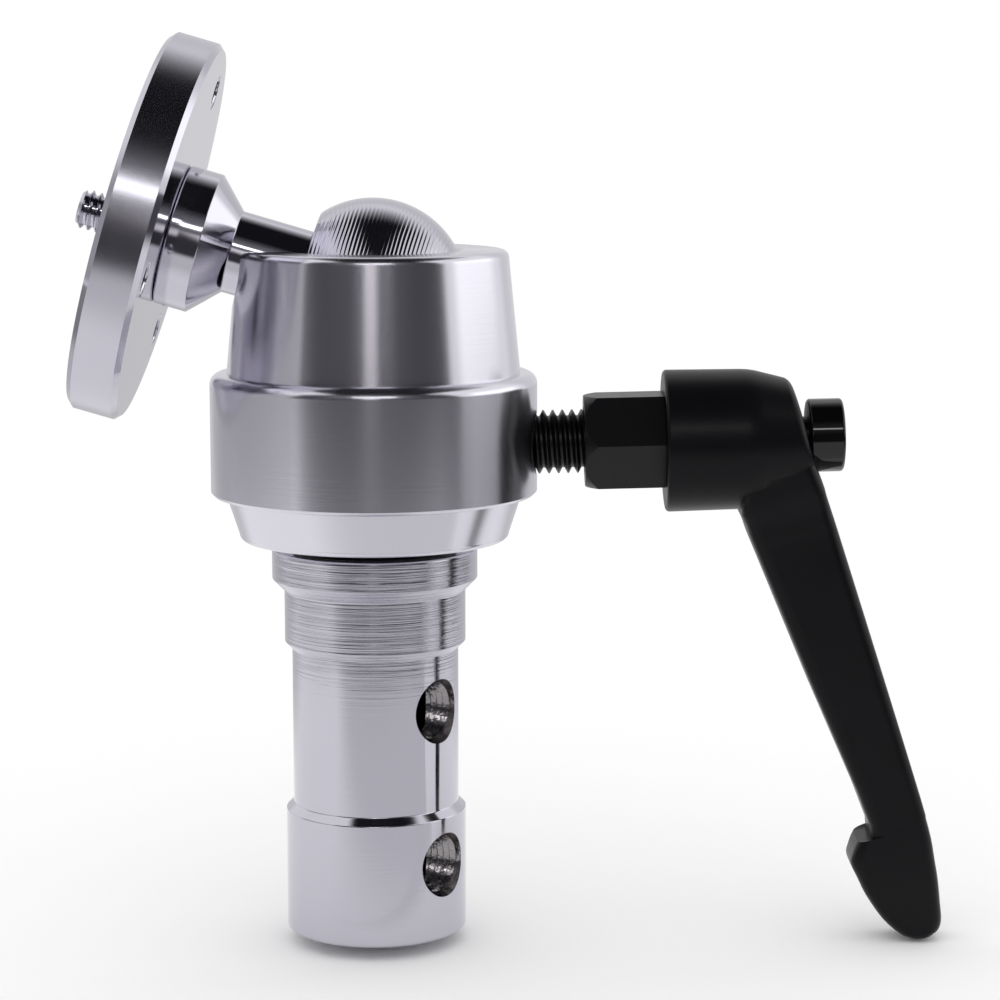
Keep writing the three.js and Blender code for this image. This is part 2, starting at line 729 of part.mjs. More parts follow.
// Path of the lever spring's wire, from the handle's shoulder to the screw's head.
class SpringPath extends THREE.Curve {
  getPoint(share) {
    const angle = share * springTurns * 2 * Math.PI;
    const radius = springMeanDiameter / 2;
    const inset = seatGap + springWire / 2;
    const height = THREE.MathUtils.lerp(handleShoulderEnd + inset, screwHeadStart - inset, share);
    return new THREE.Vector3(radius * Math.cos(angle), radius * Math.sin(angle), height);
  }
}

// The least gap between two turns of a path, measured on points at least half a turn apart.
function leastGap(path, wire, turns) {
  const points = path.getPoints(turns * 24);
  let least = Infinity;
  for (let i = 0; i < points.length; i += 1) {
    for (let j = i + 12; j < points.length; j += 1) {
      least = Math.min(least, points[i].distanceTo(points[j]) - wire);
    }
  }
  return least;
}

// The lever's spring, wound from round wire.
function leverSpring() {
  const path = new SpringPath();
  const section = new THREE.Shape().absarc(0, 0, springWire / 2, 0, 2 * Math.PI);
  const coil = new THREE.ExtrudeGeometry(section, {
    steps: springTurns * 8,
    curveSegments: 3,
    extrudePath: path,
  });
  console.log(`lever spring: least gap ${leastGap(path, springWire, springTurns).toFixed(2)} mm`);
  return geometryOf(solidOf(coil));
}

// Retaining screw with a plain round head and a hexagon key socket in its end.
function leverScrew() {
  const headRadius = screwHeadDiameter / 2;
  const headEnd = screwHeadStart + screwHeadLength;
  const shankRadius = screwShankDiameter / 2;
  const shankStart = screwHeadStart - screwShankReach;
  const inner = headRadius - screwHeadRadius;
  const body = solidOf(turned([
    [0, shankStart],
    [shankRadius, shankStart],
    [shankRadius, screwHeadStart],
    ...arc(inner, screwHeadStart + screwHeadRadius, screwHeadRadius, -Math.PI / 2, 0),
    ...arc(inner, headEnd - screwHeadRadius, screwHeadRadius, 0, Math.PI / 2),
    [0, headEnd],
  ]));
  const key = prism(hexagon(screwKeySize), headEnd - screwKeyDepth, headEnd + cutOverrun);
  return geometryOf(body.subtract(solidOf(key)));
}

function finish(color, roughness, metalness) {
  return new THREE.MeshStandardMaterial({ color, roughness, metalness });
}

const satinAluminium = finish(0xa9a8b0, 0.42, 1);
const brightChrome = finish(0xd4d4da, 0.12, 1);
const turnedChrome = finish(0xb4b4bc, 0.3, 1);
const blackCasting = finish(0x121212, 0.6, 0);
const blackOxide = finish(0x161616, 0.4, 0.6);
const brass = finish(0xb08d4a, 0.35, 1);
const nylon = finish(0x1a1a1a, 0.6, 0);
const springSteel = finish(0x9a9ca2, 0.3, 1);

function addPiece(group, name, geometry, material) {
  const mesh = new THREE.Mesh(geometry, material);
  mesh.name = name;
  group.add(mesh);
}

const bracket = new THREE.Group();

addPiece(bracket, 'spigot', spigot(), brightChrome);
addPiece(bracket, 'spigot_screw', spigotScrew(), blackOxide);
addPiece(bracket, 'spigot_washer', spigotWasher(), nylon);
addPiece(bracket, 'base_cap', baseCap(), satinAluminium);
addPiece(bracket, 'ball_housing', ballHousing(), satinAluminium);
addPiece(bracket, 'upper_liner', upperLiner(), nylon);
addPiece(bracket, 'ball_seat', ballSeat(), nylon);
addPiece(bracket, 'disc_spring', discSpring(), springSteel);
addPiece(bracket, 'lift_plunger', liftPlunger(), brass);

// The ball and all that it carries point along the stem, tilted from upright into the notch.
const ballGroup = new THREE.Group();
ballGroup.position.z = ballCentreHeight;
ballGroup.rotation.y = stemRestElevation - Math.PI / 2;
bracket.add(ballGroup);
addPiece(ballGroup, 'clamp_ball', clampBall(), turnedChrome);
addPiece(ballGroup, 'ball_stem', ballStem(), brightChrome);
addPiece(ballGroup, 'camera_plate', cameraPlate(), brightChrome);
addPiece(ballGroup, 'camera_stud', cameraStud(), brightChrome);
dowelPlaces().forEach((place, i) => {
  addPiece(ballGroup, `plate_dowel_${i + 1}`, plateDowel(place), springSteel);
});

// The thrust cone lies level in the plunger.
const thrustGroup = new THREE.Group();
thrustGroup.position.z = leverAxisHeight;
thrustGroup.rotation.y = Math.PI / 2;
bracket.add(thrustGroup);
addPiece(thrustGroup, 'thrust_cone', thrustCone(), brass);

// The lever's pieces lie along its axis, which leans about the middle of the housing's thread.
const leverGroup = new THREE.Group();
const threadMiddle = (boreDiameter + ringDiameter) / 4;
leverGroup.position.z = leverAxisHeight - threadMiddle * Math.sin(leverLean);
leverGroup.rotation.y = Math.PI / 2 - leverLean;
bracket.add(leverGroup);
addPiece(leverGroup, 'clamp_stud', clampStud(), blackOxide);
addPiece(leverGroup, 'hex_insert', hexInsert(), blackOxide);
addPiece(leverGroup, 'lever_handle', leverHandle(), blackCasting);
addPiece(leverGroup, 'lever_spring', leverSpring(), springSteel);
addPiece(leverGroup, 'lever_screw', leverScrew(), blackOxide);

export default bracket;
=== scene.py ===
# %% [markdown]
# # A ball-joint bracket in chrome, satin aluminium and black casting
# The object is a turned steel spigot that carries a ball in an aluminium housing. A stem leaves
# the ball through a notch and holds a round camera plate. A black ratchet lever clamps the ball.
# Nearly all of it was made on a lathe, so most pieces here are turned too: a circle is added,
# extruded, lifted and scaled from one step of the outline to the next. The first cell reads the
# CAD model, whose pieces the finer ones replace.

# %% Frame
import math

import bmesh
import bpy
from mathutils import Matrix, Vector


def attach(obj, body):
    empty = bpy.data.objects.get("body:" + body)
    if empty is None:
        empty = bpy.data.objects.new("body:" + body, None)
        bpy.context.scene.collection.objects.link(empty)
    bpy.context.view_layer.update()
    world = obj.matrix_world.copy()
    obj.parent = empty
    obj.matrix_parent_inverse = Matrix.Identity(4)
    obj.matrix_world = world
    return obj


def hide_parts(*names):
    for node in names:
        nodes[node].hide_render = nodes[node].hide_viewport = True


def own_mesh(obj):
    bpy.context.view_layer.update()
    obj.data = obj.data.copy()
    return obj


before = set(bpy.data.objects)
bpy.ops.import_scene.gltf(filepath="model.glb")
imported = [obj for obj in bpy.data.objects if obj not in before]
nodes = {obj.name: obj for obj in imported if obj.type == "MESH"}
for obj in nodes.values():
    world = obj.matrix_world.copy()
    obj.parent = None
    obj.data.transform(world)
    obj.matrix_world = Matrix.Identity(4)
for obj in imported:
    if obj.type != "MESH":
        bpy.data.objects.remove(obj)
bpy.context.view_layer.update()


# %% [markdown]
# ## Units, and the three lines that the pieces lie along
# Every size below is in millimetres, as on a drawing, and `mm` turns it into Blender's metres.
# The spigot, the cap and the housing stand on the Z axis. The ball, the stem and the plate lie
# along the stem, and the clamping stud and its lever lie along the lever's axis. Such a piece is
# turned upright, where its drawing is easy to read, and then moved onto its line.

# %% Lines of the object
def mm(value):
    return value / 1000


BALL_CENTRE = 101.4
STEM_RISE = math.radians(16.3)
LEVER_LEAN = math.radians(1.4)
LEVER_ROOT = 77.32

along_stem = Matrix.Translation((0, 0, mm(BALL_CENTRE))) @ Matrix.Rotation(
    STEM_RISE - math.pi / 2, 4, "Y")
along_lever = Matrix.Translation((0, 0, mm(LEVER_ROOT))) @ Matrix.Rotation(
    math.pi / 2 - LEVER_LEAN, 4, "Y")
print("stem points to", [round(c, 3) for c in along_stem.col[2][:3]])
print("lever points to", [round(c, 3) for c in along_lever.col[2][:3]])


# %% [markdown]
# ## Turning
# A lathe piece is one outline turned about an axis. By hand it is made from a circle: extrude
# its edge, move it up, scale it, and go on to the next step. A spin would do the same, but this
# way each step is a plain operator with a size that can be read. Corners are rounded afterwards
# with a small bevel, because the thin bright line on an edge is what makes metal look machined.

# %% Turning tools
POLE = 0.005  # a point on the axis is a ring this small, and tidy_mesh closes it


def only(piece):
    bpy.ops.object.select_all(action="DESELECT")
    piece.select_set(True)
    bpy.context.view_layer.objects.active = piece


def tidy_mesh(piece, gap=0.012):
    only(piece)
    bpy.ops.object.mode_set(mode="EDIT")
    bpy.ops.mesh.select_all(action="SELECT")
    bpy.ops.mesh.remove_doubles(threshold=mm(gap))
    bpy.ops.mesh.normals_make_consistent(inside=False)
    bpy.ops.object.mode_set(mode="OBJECT")


def turn(name, outline, sides=192):
    steps = [(max(radius, POLE), height) for radius, height in outline]
    bpy.ops.object.select_all(action="DESELECT")
    bpy.ops.mesh.primitive_circle_add(
        vertices=sides, radius=mm(steps[0][0]), location=(0, 0, mm(steps[0][1])))
    piece = bpy.context.object
    piece.name = name
    bpy.ops.object.mode_set(mode="EDIT")
    bpy.ops.mesh.select_mode(type="VERT")
    bpy.ops.mesh.select_all(action="SELECT")
    for (radius, height), (next_radius, next_height) in zip(steps, steps[1:]):
        scale = next_radius / radius
        bpy.ops.mesh.extrude_region_move(
            TRANSFORM_OT_translate={"value": (0, 0, mm(next_height - height))})
        bpy.ops.transform.resize(
            value=(scale, scale, 1), center_override=(0, 0, mm(next_height)))
    bpy.ops.object.mode_set(mode="OBJECT")
    bpy.ops.object.transform_apply(location=True, rotation=True, scale=True)
    tidy_mesh(piece)
    return piece


def arc(centre_radius, centre_height, radius, start, end, steps=8):
    angles = [math.radians(start + (end - start) * i / steps) for i in range(steps + 1)]
    return [(centre_radius + radius * math.cos(a), centre_height + radius * math.sin(a))
            for a in angles]


def place(piece, line):
    only(piece)
    piece.matrix_world = line @ piece.matrix_world
    bpy.ops.object.transform_apply(location=True, rotation=True, scale=True)
    return piece


def apply_modifier(piece, kind, **settings):
    only(piece)
    modifier = piece.modifiers.new(kind.lower(), kind)
    for key, value in settings.items():
        setattr(modifier, key, value)
    bpy.ops.object.modifier_apply(modifier=modifier.name)


def cut(piece, cutter, operation="DIFFERENCE"):
    apply_modifier(piece, "BOOLEAN", object=cutter, operation=operation, solver="EXACT",
                   material_mode="TRANSFER")
    bpy.data.objects.remove(cutter)


def round_edges(piece, radius, segments=3, angle=25):
    apply_modifier(piece, "BEVEL", width=mm(radius), segments=segments, limit_method="ANGLE",
                   angle_limit=math.radians(angle), use_clamp_overlap=True)


def smooth(piece, angle=32):
    only(piece)
    bpy.ops.object.shade_smooth_by_angle(angle=math.radians(angle))
    apply_modifier(piece, "WEIGHTED_NORMAL", weight=60, keep_sharp=True)


print("a quarter arc has", len(arc(0, 0, 1, 0, 90)), "points")


# %% [markdown]
# ## Materials: one way to add a node
# Each finish is a small graph of nodes. `add_node` adds any node with its settings and links, and
# `linear` turns a colour that was written as on a screen into the light values Blender works in.
# A noise asks how many of its waves fit in a metre, and `waves` works that out from the length of
# one in millimetres.

# %% Material tools
def linear(hex_colour):
    channels = [int(hex_colour[i:i + 2], 16) / 255 for i in (0, 2, 4)]
    return tuple(c / 12.92 if c <= 0.04045 else ((c + 0.055) / 1.055) ** 2.4
                 for c in channels) + (1.0,)


def waves(length):
    return 1 / mm(length)


def add_node(tree, kind, inputs=None, **settings):
    made = tree.nodes.new(kind)
    for key, value in settings.items():
        setattr(made, key, value)
    for key, value in (inputs or {}).items():
        if isinstance(value, bpy.types.NodeSocket):
            tree.links.new(value, made.inputs[key])
        else:
            made.inputs[key].default_value = value
    return made


def new_material(name):
    material = bpy.data.materials.new(name)
    material.use_nodes = True
    material.node_tree.nodes.clear()
    return material, material.node_tree


def finish_material(tree, shader):
    add_node(tree, "ShaderNodeOutputMaterial", {"Surface": shader.outputs[0]})


def dress(piece, material):
    piece.data.materials.clear()
    piece.data.materials.append(material)


print("mid grey in linear light:", round(linear("808080")[0], 3))


# %% [markdown]
# ## Bright chrome
# Chrome plating is a thin, hard, slightly blue mirror. It has no colour of its own, so nearly all
# that is seen is the room. Chromium throws back a little over half of the light, which is why
# a white floor looks light grey in it. The plate, the stem and the camera's stud were polished
# first. Polishing by hand leaves soft waves a centimetre long, which bend straight reflections.

# %% Bright chrome
CHROME = linear("c5c3cd")


def make_polished_chrome():
    material, tree = new_material("polished_chrome_plating")
    where = add_node(tree, "ShaderNodeTexCoord")
    ripple = add_node(tree, "ShaderNodeTexNoise",
                      {"Vector": where.outputs["Object"], "Scale": waves(11.11), "Detail": 1.0})
    bump = add_node(tree, "ShaderNodeBump", {
        "Height": ripple.outputs["Fac"], "Strength": 0.35, "Distance": 0.00004})
    shader = add_node(tree, "ShaderNodeBsdfPrincipled", {
        "Base Color": CHROME, "Metallic": 1.0, "Roughness": 0.085,
        "Normal": bump.outputs["Normal"]})
    finish_material(tree, shader)
    return material


polished_chrome = make_polished_chrome()
print("made", polished_chrome.name)


# %% [markdown]
# ## Chrome over turning marks
# The spigot was plated straight from the lathe. Its flange and upper land still have the tool's
# marks, fine uneven rings about half a millimetre apart, and lower down it is nearly smooth. The
# marks are a noise stretched round the pin, and a ramp along its height says where they show.
# Such rings spread light up and down but hardly sideways, so the room shows as upright streaks.
# The shader's anisotropy does that, with the grain's direction worked out at each point as
# a quarter turn from the way to the axis. Where the marks are deep, the mirror is also hazier.

# %% Spigot chrome
MARKS_FADE = 36
MARKS_FULL = 48


def add_grain_direction(tree, where):
    flat = add_node(tree, "ShaderNodeVectorMath", {
        0: where.outputs["Object"], 1: (1.0, 1.0, 0.0)}, operation="MULTIPLY")
    around = add_node(tree, "ShaderNodeVectorMath", {
        0: (0.0, 0.0, 1.0), 1: flat.outputs["Vector"]}, operation="CROSS_PRODUCT")
    return add_node(tree, "ShaderNodeVectorMath", {
        0: around.outputs["Vector"]}, operation="NORMALIZE")


def make_spigot_chrome():
    material, tree = new_material("chrome_plating_over_turned_steel")
    where = add_node(tree, "ShaderNodeTexCoord")
    grain = add_grain_direction(tree, where)
    height = add_node(tree, "ShaderNodeSeparateXYZ", {"Vector": where.outputs["Object"]})
    stretched = add_node(tree, "ShaderNodeMapping", {
        "Vector": where.outputs["Object"],
        "Scale": (waves(38.46), waves(38.46), waves(0.5263))})
    marks = add_node(tree, "ShaderNodeTexNoise", {
        "Vector": stretched.outputs["Vector"], "Scale": 1.0, "Detail": 3.0, "Roughness": 0.65})
    amount = add_node(tree, "ShaderNodeMapRange", {
        "Value": height.outputs["Z"], "From Min": mm(MARKS_FADE), "From Max": mm(MARKS_FULL),
        "To Min": 0.06, "To Max": 1.0}, interpolation_type="SMOOTHSTEP")
    depth = add_node(tree, "ShaderNodeMath", {
        0: marks.outputs["Fac"], 1: amount.outputs["Result"]}, operation="MULTIPLY")
    bump = add_node(tree, "ShaderNodeBump", {
        "Height": depth.outputs[0], "Strength": 1.0, "Distance": 0.0001})
    blur = add_node(tree, "ShaderNodeMapRange", {
        "Value": amount.outputs["Result"], "To Min": 0.1, "To Max": 0.17})
    shader = add_node(tree, "ShaderNodeBsdfPrincipled", {
        "Base Color": CHROME, "Metallic": 1.0, "Roughness": blur.outputs["Result"],
        "Anisotropic": 0.85, "Anisotropic Rotation": 0.25, "Tangent": grain.outputs["Vector"],
        "Normal": bump.outputs["Normal"]})
    finish_material(tree, shader)
    return material


spigot_chrome = make_spigot_chrome()
print("made", spigot_chrome.name)


# %% [markdown]
# ## Spigot
# The pin has two full-size lands with a waist between them, under a chamfered flange. It is
# bored out from below, and two tapped holes go through its wall for locking screws. The outline
# is turned in one go, from the floor of the bore round the outside to the tapped top.

# %% Spigot body
LAND = 14.3
WAIST = 13.15
spigot_outline = [
    (0, 42), (8, 40), (8, 0.8), (8.8, 0), (13.9, 0), (LAND, 0.4), (LAND, 19.5), (WAIST, 20.6),
    (WAIST, 45.4), (LAND, 46.5), (LAND, 54.7), (16.2, 56.6), (16.2, 61.1), (15.9, 61.4),
    (6.2, 61.4), (6.2, 47.1), (0, 47.1),
]
spigot = turn("turned_spigot", spigot_outline, sides=256)
round_edges(spigot, 0.12, segments=2)
print("spigot:", len(spigot.data.vertices), "points")


# %% [markdown]
# ## Tapped steel
# The walls of the lock holes look like bare steel: greyer than chrome, and torn a little by the
# tap. The eye gets dark hollows with broken glints on the crests. A noise with waves of 0.7 mm,
# and finer ones in it, makes the torn skin, in the bump and in the blur.

# %% Tapped steel
def make_tapped_steel():
    material, tree = new_material("bare_tapped_steel")
    where = add_node(tree, "ShaderNodeTexCoord")
    chatter = add_node(tree, "ShaderNodeTexNoise", {
        "Vector": where.outputs["Object"], "Scale": waves(0.7143), "Detail": 3.0})
    rough = add_node(tree, "ShaderNodeMapRange", {
        "Value": chatter.outputs["Fac"], "To Min": 0.08, "To Max": 0.22})
    bump = add_node(tree, "ShaderNodeBump", {
        "Height": chatter.outputs["Fac"], "Strength": 1.0, "Distance": 0.00007})
    shader = add_node(tree, "ShaderNodeBsdfPrincipled", {
        "Base Color": linear("9e9a9c"), "Metallic": 1.0, "Roughness": rough.outputs["Result"],
        "Normal": bump.outputs["Normal"]})
    finish_material(tree, shader)
    return material


tapped_steel = make_tapped_steel()
print("made", tapped_steel.name)


# %% [markdown]
# ## Lock holes
# A tap leaves a row of sharp crests in a hole. The tool that cuts the hole is itself turned, with
# a saw-tooth outline of 1.25 mm pitch, and a boolean takes it out of the pin's wall. The cut
# faces keep the tool's material, so the bare steel needs no faces picked out by hand.

# %% Lock holes
HOLE_AZIMUTH = math.radians(-38)
THREAD_PITCH = 1.25
CREST = 4.5
ROOT = 5.05


def lock_hole(height, surface):
    outline = [(0, 5), (CREST, 5)]
    depth = 5.2
    while depth + THREAD_PITCH < surface - 0.8:
        outline += [(ROOT, depth + THREAD_PITCH / 2), (CREST, depth + THREAD_PITCH)]
        depth += THREAD_PITCH
    outline += [(5.1, surface - 0.1), (5.25, surface + 2), (0, surface + 2)]
    cutter = turn("lock_hole_tool", outline, sides=64)
    cutter.data.materials.append(tapped_steel)
    line = Matrix.Translation((0, 0, mm(height))) @ Matrix.Rotation(
        HOLE_AZIMUTH, 4, "Z") @ Matrix.Rotation(math.pi / 2, 4, "Y")
    return place(cutter, line)


dress(spigot, spigot_chrome)
cut(spigot, lock_hole(12, LAND))
cut(spigot, lock_hole(36.5, WAIST))
smooth(spigot, 28)
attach(spigot, "base")
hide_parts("spigot")
print("spigot with holes:", len(spigot.data.polygons), "faces")


# %% [markdown]
# ## Satin aluminium
# The cap and the housing are turned aluminium with a satin anodised skin. Marks a tenth of
# a millimetre apart run round them, and the etch before anodising has softened them. The eye gets
# broad upright bands of light and dark with no sharp edge. The grain's direction is the spigot's,
# with a wider blur. The marks are drawn at 0.4 mm, because finer ones would not show here.

# %% Satin aluminium
def make_satin_aluminium():
    material, tree = new_material("satin_anodised_aluminium")
    where = add_node(tree, "ShaderNodeTexCoord")
    grain = add_grain_direction(tree, where)
    stretched = add_node(tree, "ShaderNodeMapping", {
        "Vector": where.outputs["Object"],
        "Scale": (waves(16.67), waves(16.67), waves(0.3846))})
    marks = add_node(tree, "ShaderNodeTexNoise", {
        "Vector": stretched.outputs["Vector"], "Scale": 1.0, "Detail": 3.0})
    bump = add_node(tree, "ShaderNodeBump", {
        "Height": marks.outputs["Fac"], "Strength": 0.5, "Distance": 0.00001})
    shader = add_node(tree, "ShaderNodeBsdfPrincipled", {
        "Base Color": linear("d9d7e0"), "Metallic": 1.0, "Roughness": 0.21,
        "Anisotropic": 0.8, "Anisotropic Rotation": 0.25, "Tangent": grain.outputs["Vector"],
        "Normal": bump.outputs["Normal"]})
    finish_material(tree, shader)
    return material


satin_aluminium = make_satin_aluminium()
print("made", satin_aluminium.name)


# %% [markdown]
# ## Base cap
# The lower cone closes the housing from below. Its foot has a soft round edge, and a ring on its
# top screws up inside the housing. It is one closed outline turned about the axis, and `arc` puts
# the foot's round edge into the outline, where its radius can be read.

# %% Base cap
cap_outline = [
    (6.2, 62.9), *arc(20.3, 63.8, 0.9, -90, 0), (23.15, 69.7), (22.3, 69.7), (22.3, 72.3),
    (17.8, 72.3), (17.8, 70.7), (11, 70.7), (11, 66.4), (6.2, 66.4), (6.2, 62.9),
]
base_cap = turn("turned_base_cap", cap_outline)
round_edges(base_cap, 0.15, segments=3)
smooth(base_cap)
dress(base_cap, satin_aluminium)
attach(base_cap, "base")
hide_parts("base_cap")
print("base cap:", len(base_cap.data.polygons), "faces")


# %% [markdown]
# ## Ball housing
# A heavy ring with a tapered collar above it, in one piece. Inside, the collar ends in a lip that
# is round like the ball and keeps it in. The U-shaped notch lets the stem swing down to the side,
# and opposite it is the tapped hole of the clamping stud. The notch's tool is the lower half of
# a lying cylinder, with its cut face extruded upwards, as a round-nosed cutter would leave it.

# %% Housing body
RING = 25.6
SOCKET = 15.05
LIP_FOOT = 104.5
LIP_RISE = 6.2
lip_low = math.degrees(math.asin((LIP_FOOT - BALL_CENTRE) / SOCKET))
lip_high = math.degrees(math.asin(LIP_RISE / SOCKET))
housing_outline = [
    (22.6, 70), (RING - 0.5, 70), (RING, 70.5), *arc(RING - 1.7, 87.3, 1.7, 0, 90), (22.95, 89),
    *arc(20, 106.9, 1.2, 0, 90), (14.2, 108.1),
    *arc(0, BALL_CENTRE, SOCKET, lip_high, lip_low), (17.8, LIP_FOOT), (17.8, 72.6), (22.6, 72.6),
    (22.6, 70),
]
housing = turn("turned_ball_housing", housing_outline, sides=256)
print("lip from", round(lip_low, 1), "to", round(lip_high, 1), "degrees above the ball's middle")

# %% Notch and stud hole
NOTCH_AXIS = 105.8
NOTCH_RADIUS = 6.85
STUD_HOLE_HEIGHT = 77.85
bpy.ops.object.select_all(action="DESELECT")
bpy.ops.mesh.primitive_cylinder_add(
    vertices=96, radius=mm(NOTCH_RADIUS), depth=mm(30), location=(mm(-15), 0, mm(NOTCH_AXIS)),
    rotation=(0, math.pi / 2, 0))
notch_tool = bpy.context.object
bpy.ops.object.mode_set(mode="EDIT")
bpy.ops.mesh.select_all(action="SELECT")
bpy.ops.mesh.bisect(plane_co=(0, 0, mm(NOTCH_AXIS)), plane_no=(0, 0, 1), clear_outer=True,
                    use_fill=True)
bpy.ops.mesh.extrude_region_move(TRANSFORM_OT_translate={"value": (0, 0, mm(12))})
bpy.ops.object.mode_set(mode="OBJECT")
bpy.ops.object.transform_apply(location=True, rotation=True, scale=True)
tidy_mesh(notch_tool)
cut(housing, notch_tool)
stud_line = Matrix.Translation((0, 0, mm(STUD_HOLE_HEIGHT))) @ Matrix.Rotation(
    math.pi / 2, 4, "Y")
cut(housing, place(turn("stud_hole_tool", [(0, 9), (5.3, 9), (5.3, 30), (0, 30)], 96), stud_line))
round_edges(housing, 0.14, segments=2, angle=40)
smooth(housing)
dress(housing, satin_aluminium)
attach(housing, "base")
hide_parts("ball_housing")
print("housing:", len(housing.data.polygons), "faces")


# %% [markdown]
# ## Ball with its turning grooves
# The ball was turned from the stem's side and plated without polishing, so it has fine grooves
# round the stem's line, about 0.6 mm apart. They break every reflection into a comb. Bands of
# a wave texture make the grooves, with a little distortion, because no two are alike. The bands
# stand across the stem's line, because the Mapping node lays that line along their X.

# %% Grooved chrome
GROOVE = 0.6


def make_grooved_chrome():
    material, tree = new_material("chrome_plating_over_turning_grooves")
    where = add_node(tree, "ShaderNodeTexCoord")
    turned = add_node(tree, "ShaderNodeMapping", {
        "Vector": where.outputs["Object"], "Location": (0.0, 0.0, mm(BALL_CENTRE)),
        "Rotation": (0.0, STEM_RISE, 0.0)}, vector_type="TEXTURE")
    # The node itself draws a band in every 2 pi / 20 of its space.
    grooves = add_node(tree, "ShaderNodeTexWave", {
        "Vector": turned.outputs["Vector"], "Scale": 2 * math.pi / 20 / mm(GROOVE),
        "Distortion": 1.6, "Detail": 1.0, "Detail Scale": 0.25},
        wave_type="BANDS", bands_direction="X")
    bump = add_node(tree, "ShaderNodeBump", {
        "Height": grooves.outputs["Fac"], "Strength": 1.0, "Distance": 0.000042})
    shader = add_node(tree, "ShaderNodeBsdfPrincipled", {
        "Base Color": CHROME, "Metallic": 1.0, "Roughness": 0.1,
        "Normal": bump.outputs["Normal"]})
    finish_material(tree, shader)
    return material


grooved_chrome = make_grooved_chrome()
print("made", grooved_chrome.name)

# %% Ball
BALL = 14.75
FLAT = 11.112
STEM_BORE = 4.3
BORE_DEPTH = 16.7
flat_angle = math.degrees(math.asin(FLAT / BALL))
ball_outline = [*arc(0, 0, BALL, -90, flat_angle, 64), (STEM_BORE, FLAT),
                (STEM_BORE, FLAT - BORE_DEPTH), (0, FLAT - BORE_DEPTH)]
ball = turn("turned_clamp_ball", ball_outline)
round_edges(ball, 0.2, segments=3)
smooth(ball)
place(ball, along_stem)
dress(ball, grooved_chrome)
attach(ball, "ball")
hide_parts("clamp_ball")
print("ball:", len(ball.data.polygons), "faces")


# %% [markdown]
# ## Stem and hub
# The stem grows through a short cone into the hub that the plate sits on. Cone and hub are
# polished with sharp steps between them, so each mirrors a different strip of the room. They are
# one turned outline, and a bevel of only 0.12 mm keeps the steps crisp.

# %% Stem and hub
stem_outline = [
    (0, -5.29), (4, -5.29), (4, 11.41), (6.5, 11.41), (6.5, 22.71), (11.05, 27.21),
    (11.05, 32.13), (10.8, 32.38), (3.4, 32.38), (3.4, 21.2), (0, 21.2),
]
stem = turn("turned_ball_stem", stem_outline)
round_edges(stem, 0.12, segments=2)
smooth(stem)
place(stem, along_stem)
dress(stem, polished_chrome)
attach(stem, "plate")
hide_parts("ball_stem")
print("stem:", len(stem.data.polygons), "faces")


# %% [markdown]
# ## Satin rim
# The plate's rim was left as turned when its faces were polished. It shows the same room as the
# faces do, but blurred into soft bands. Only the roughness differs from the polished chrome, with
# hazy patches of about a millimetre, because buffing is never quite even.

# %% Satin rim
def make_satin_chrome():
    material, tree = new_material("satin_chrome_plating_of_the_rim")
    where = add_node(tree, "ShaderNodeTexCoord")
    haze = add_node(tree, "ShaderNodeTexNoise", {
        "Vector": where.outputs["Object"], "Scale": waves(1.111), "Detail": 3.0})
    rough = add_node(tree, "ShaderNodeMapRange", {
        "Value": haze.outputs["Fac"], "To Min": 0.19, "To Max": 0.24})
    shader = add_node(tree, "ShaderNodeBsdfPrincipled", {
        "Base Color": CHROME, "Metallic": 1.0, "Roughness": rough.outputs["Result"]})
    finish_material(tree, shader)
    return material


satin_chrome = make_satin_chrome()
print("made", satin_chrome.name)


# %% [markdown]
# ## Plate
# The plate is a chamfered disc with three countersunk through holes. One small tool is turned for
# each hole and moved round to its place, so the countersinks come with the cut. Afterwards the
# faces whose normal points away from the axis get the rim's finish.

# %% Plate
HOLE_CIRCLE = 23.5
plate_outline = [
    (3.4, 32.41), (29.35, 32.41), (30.2, 33.26), (30.2, 39.56), (29.35, 40.41), (3.4, 40.41),
    (3.4, 32.41),
]
plate = turn("turned_camera_plate", plate_outline, sides=256)
for hole_angle in (16, 136, 256):
    tool = turn("plate_hole_tool", [(0, 30), (2.75, 30), (2.75, 32.5), (2.5, 32.75),
                                    (2.5, 40.07), (2.75, 40.32), (2.75, 42), (0, 42)], 48)
    turn_round = Matrix.Rotation(math.radians(hole_angle), 4, "Z")
    place(tool, turn_round @ Matrix.Translation((mm(HOLE_CIRCLE), 0, 0)))
    cut(plate, tool)
round_edges(plate, 0.1, segments=2, angle=30)
smooth(plate, 25)
dress(plate, polished_chrome)
plate.data.materials.append(satin_chrome)
for face in plate.data.polygons:
    middle = face.center
    if math.hypot(middle.x, middle.y) > mm(30) and abs(face.normal.z) < 0.3:
        face.material_index = 1
place(plate, along_stem)
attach(plate, "plate")
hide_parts("camera_plate")
print("plate:", len(plate.data.polygons), "faces")


# %% [markdown]
# ## Screw threads
# A thread is one ridge wound up a bar. A plane gets the ridge's cross-section, its edge is wound
# up by the Screw modifier, and the two open ends are filled. Then the ridge is joined to a plain
# bar, and what is common with a chamfered bar is kept. That gives flat ends and a pointed tip.

# %% Thread tool
RUN_IN = 1.37  # turns that the ridge starts below the bar, to be cut off with its open end


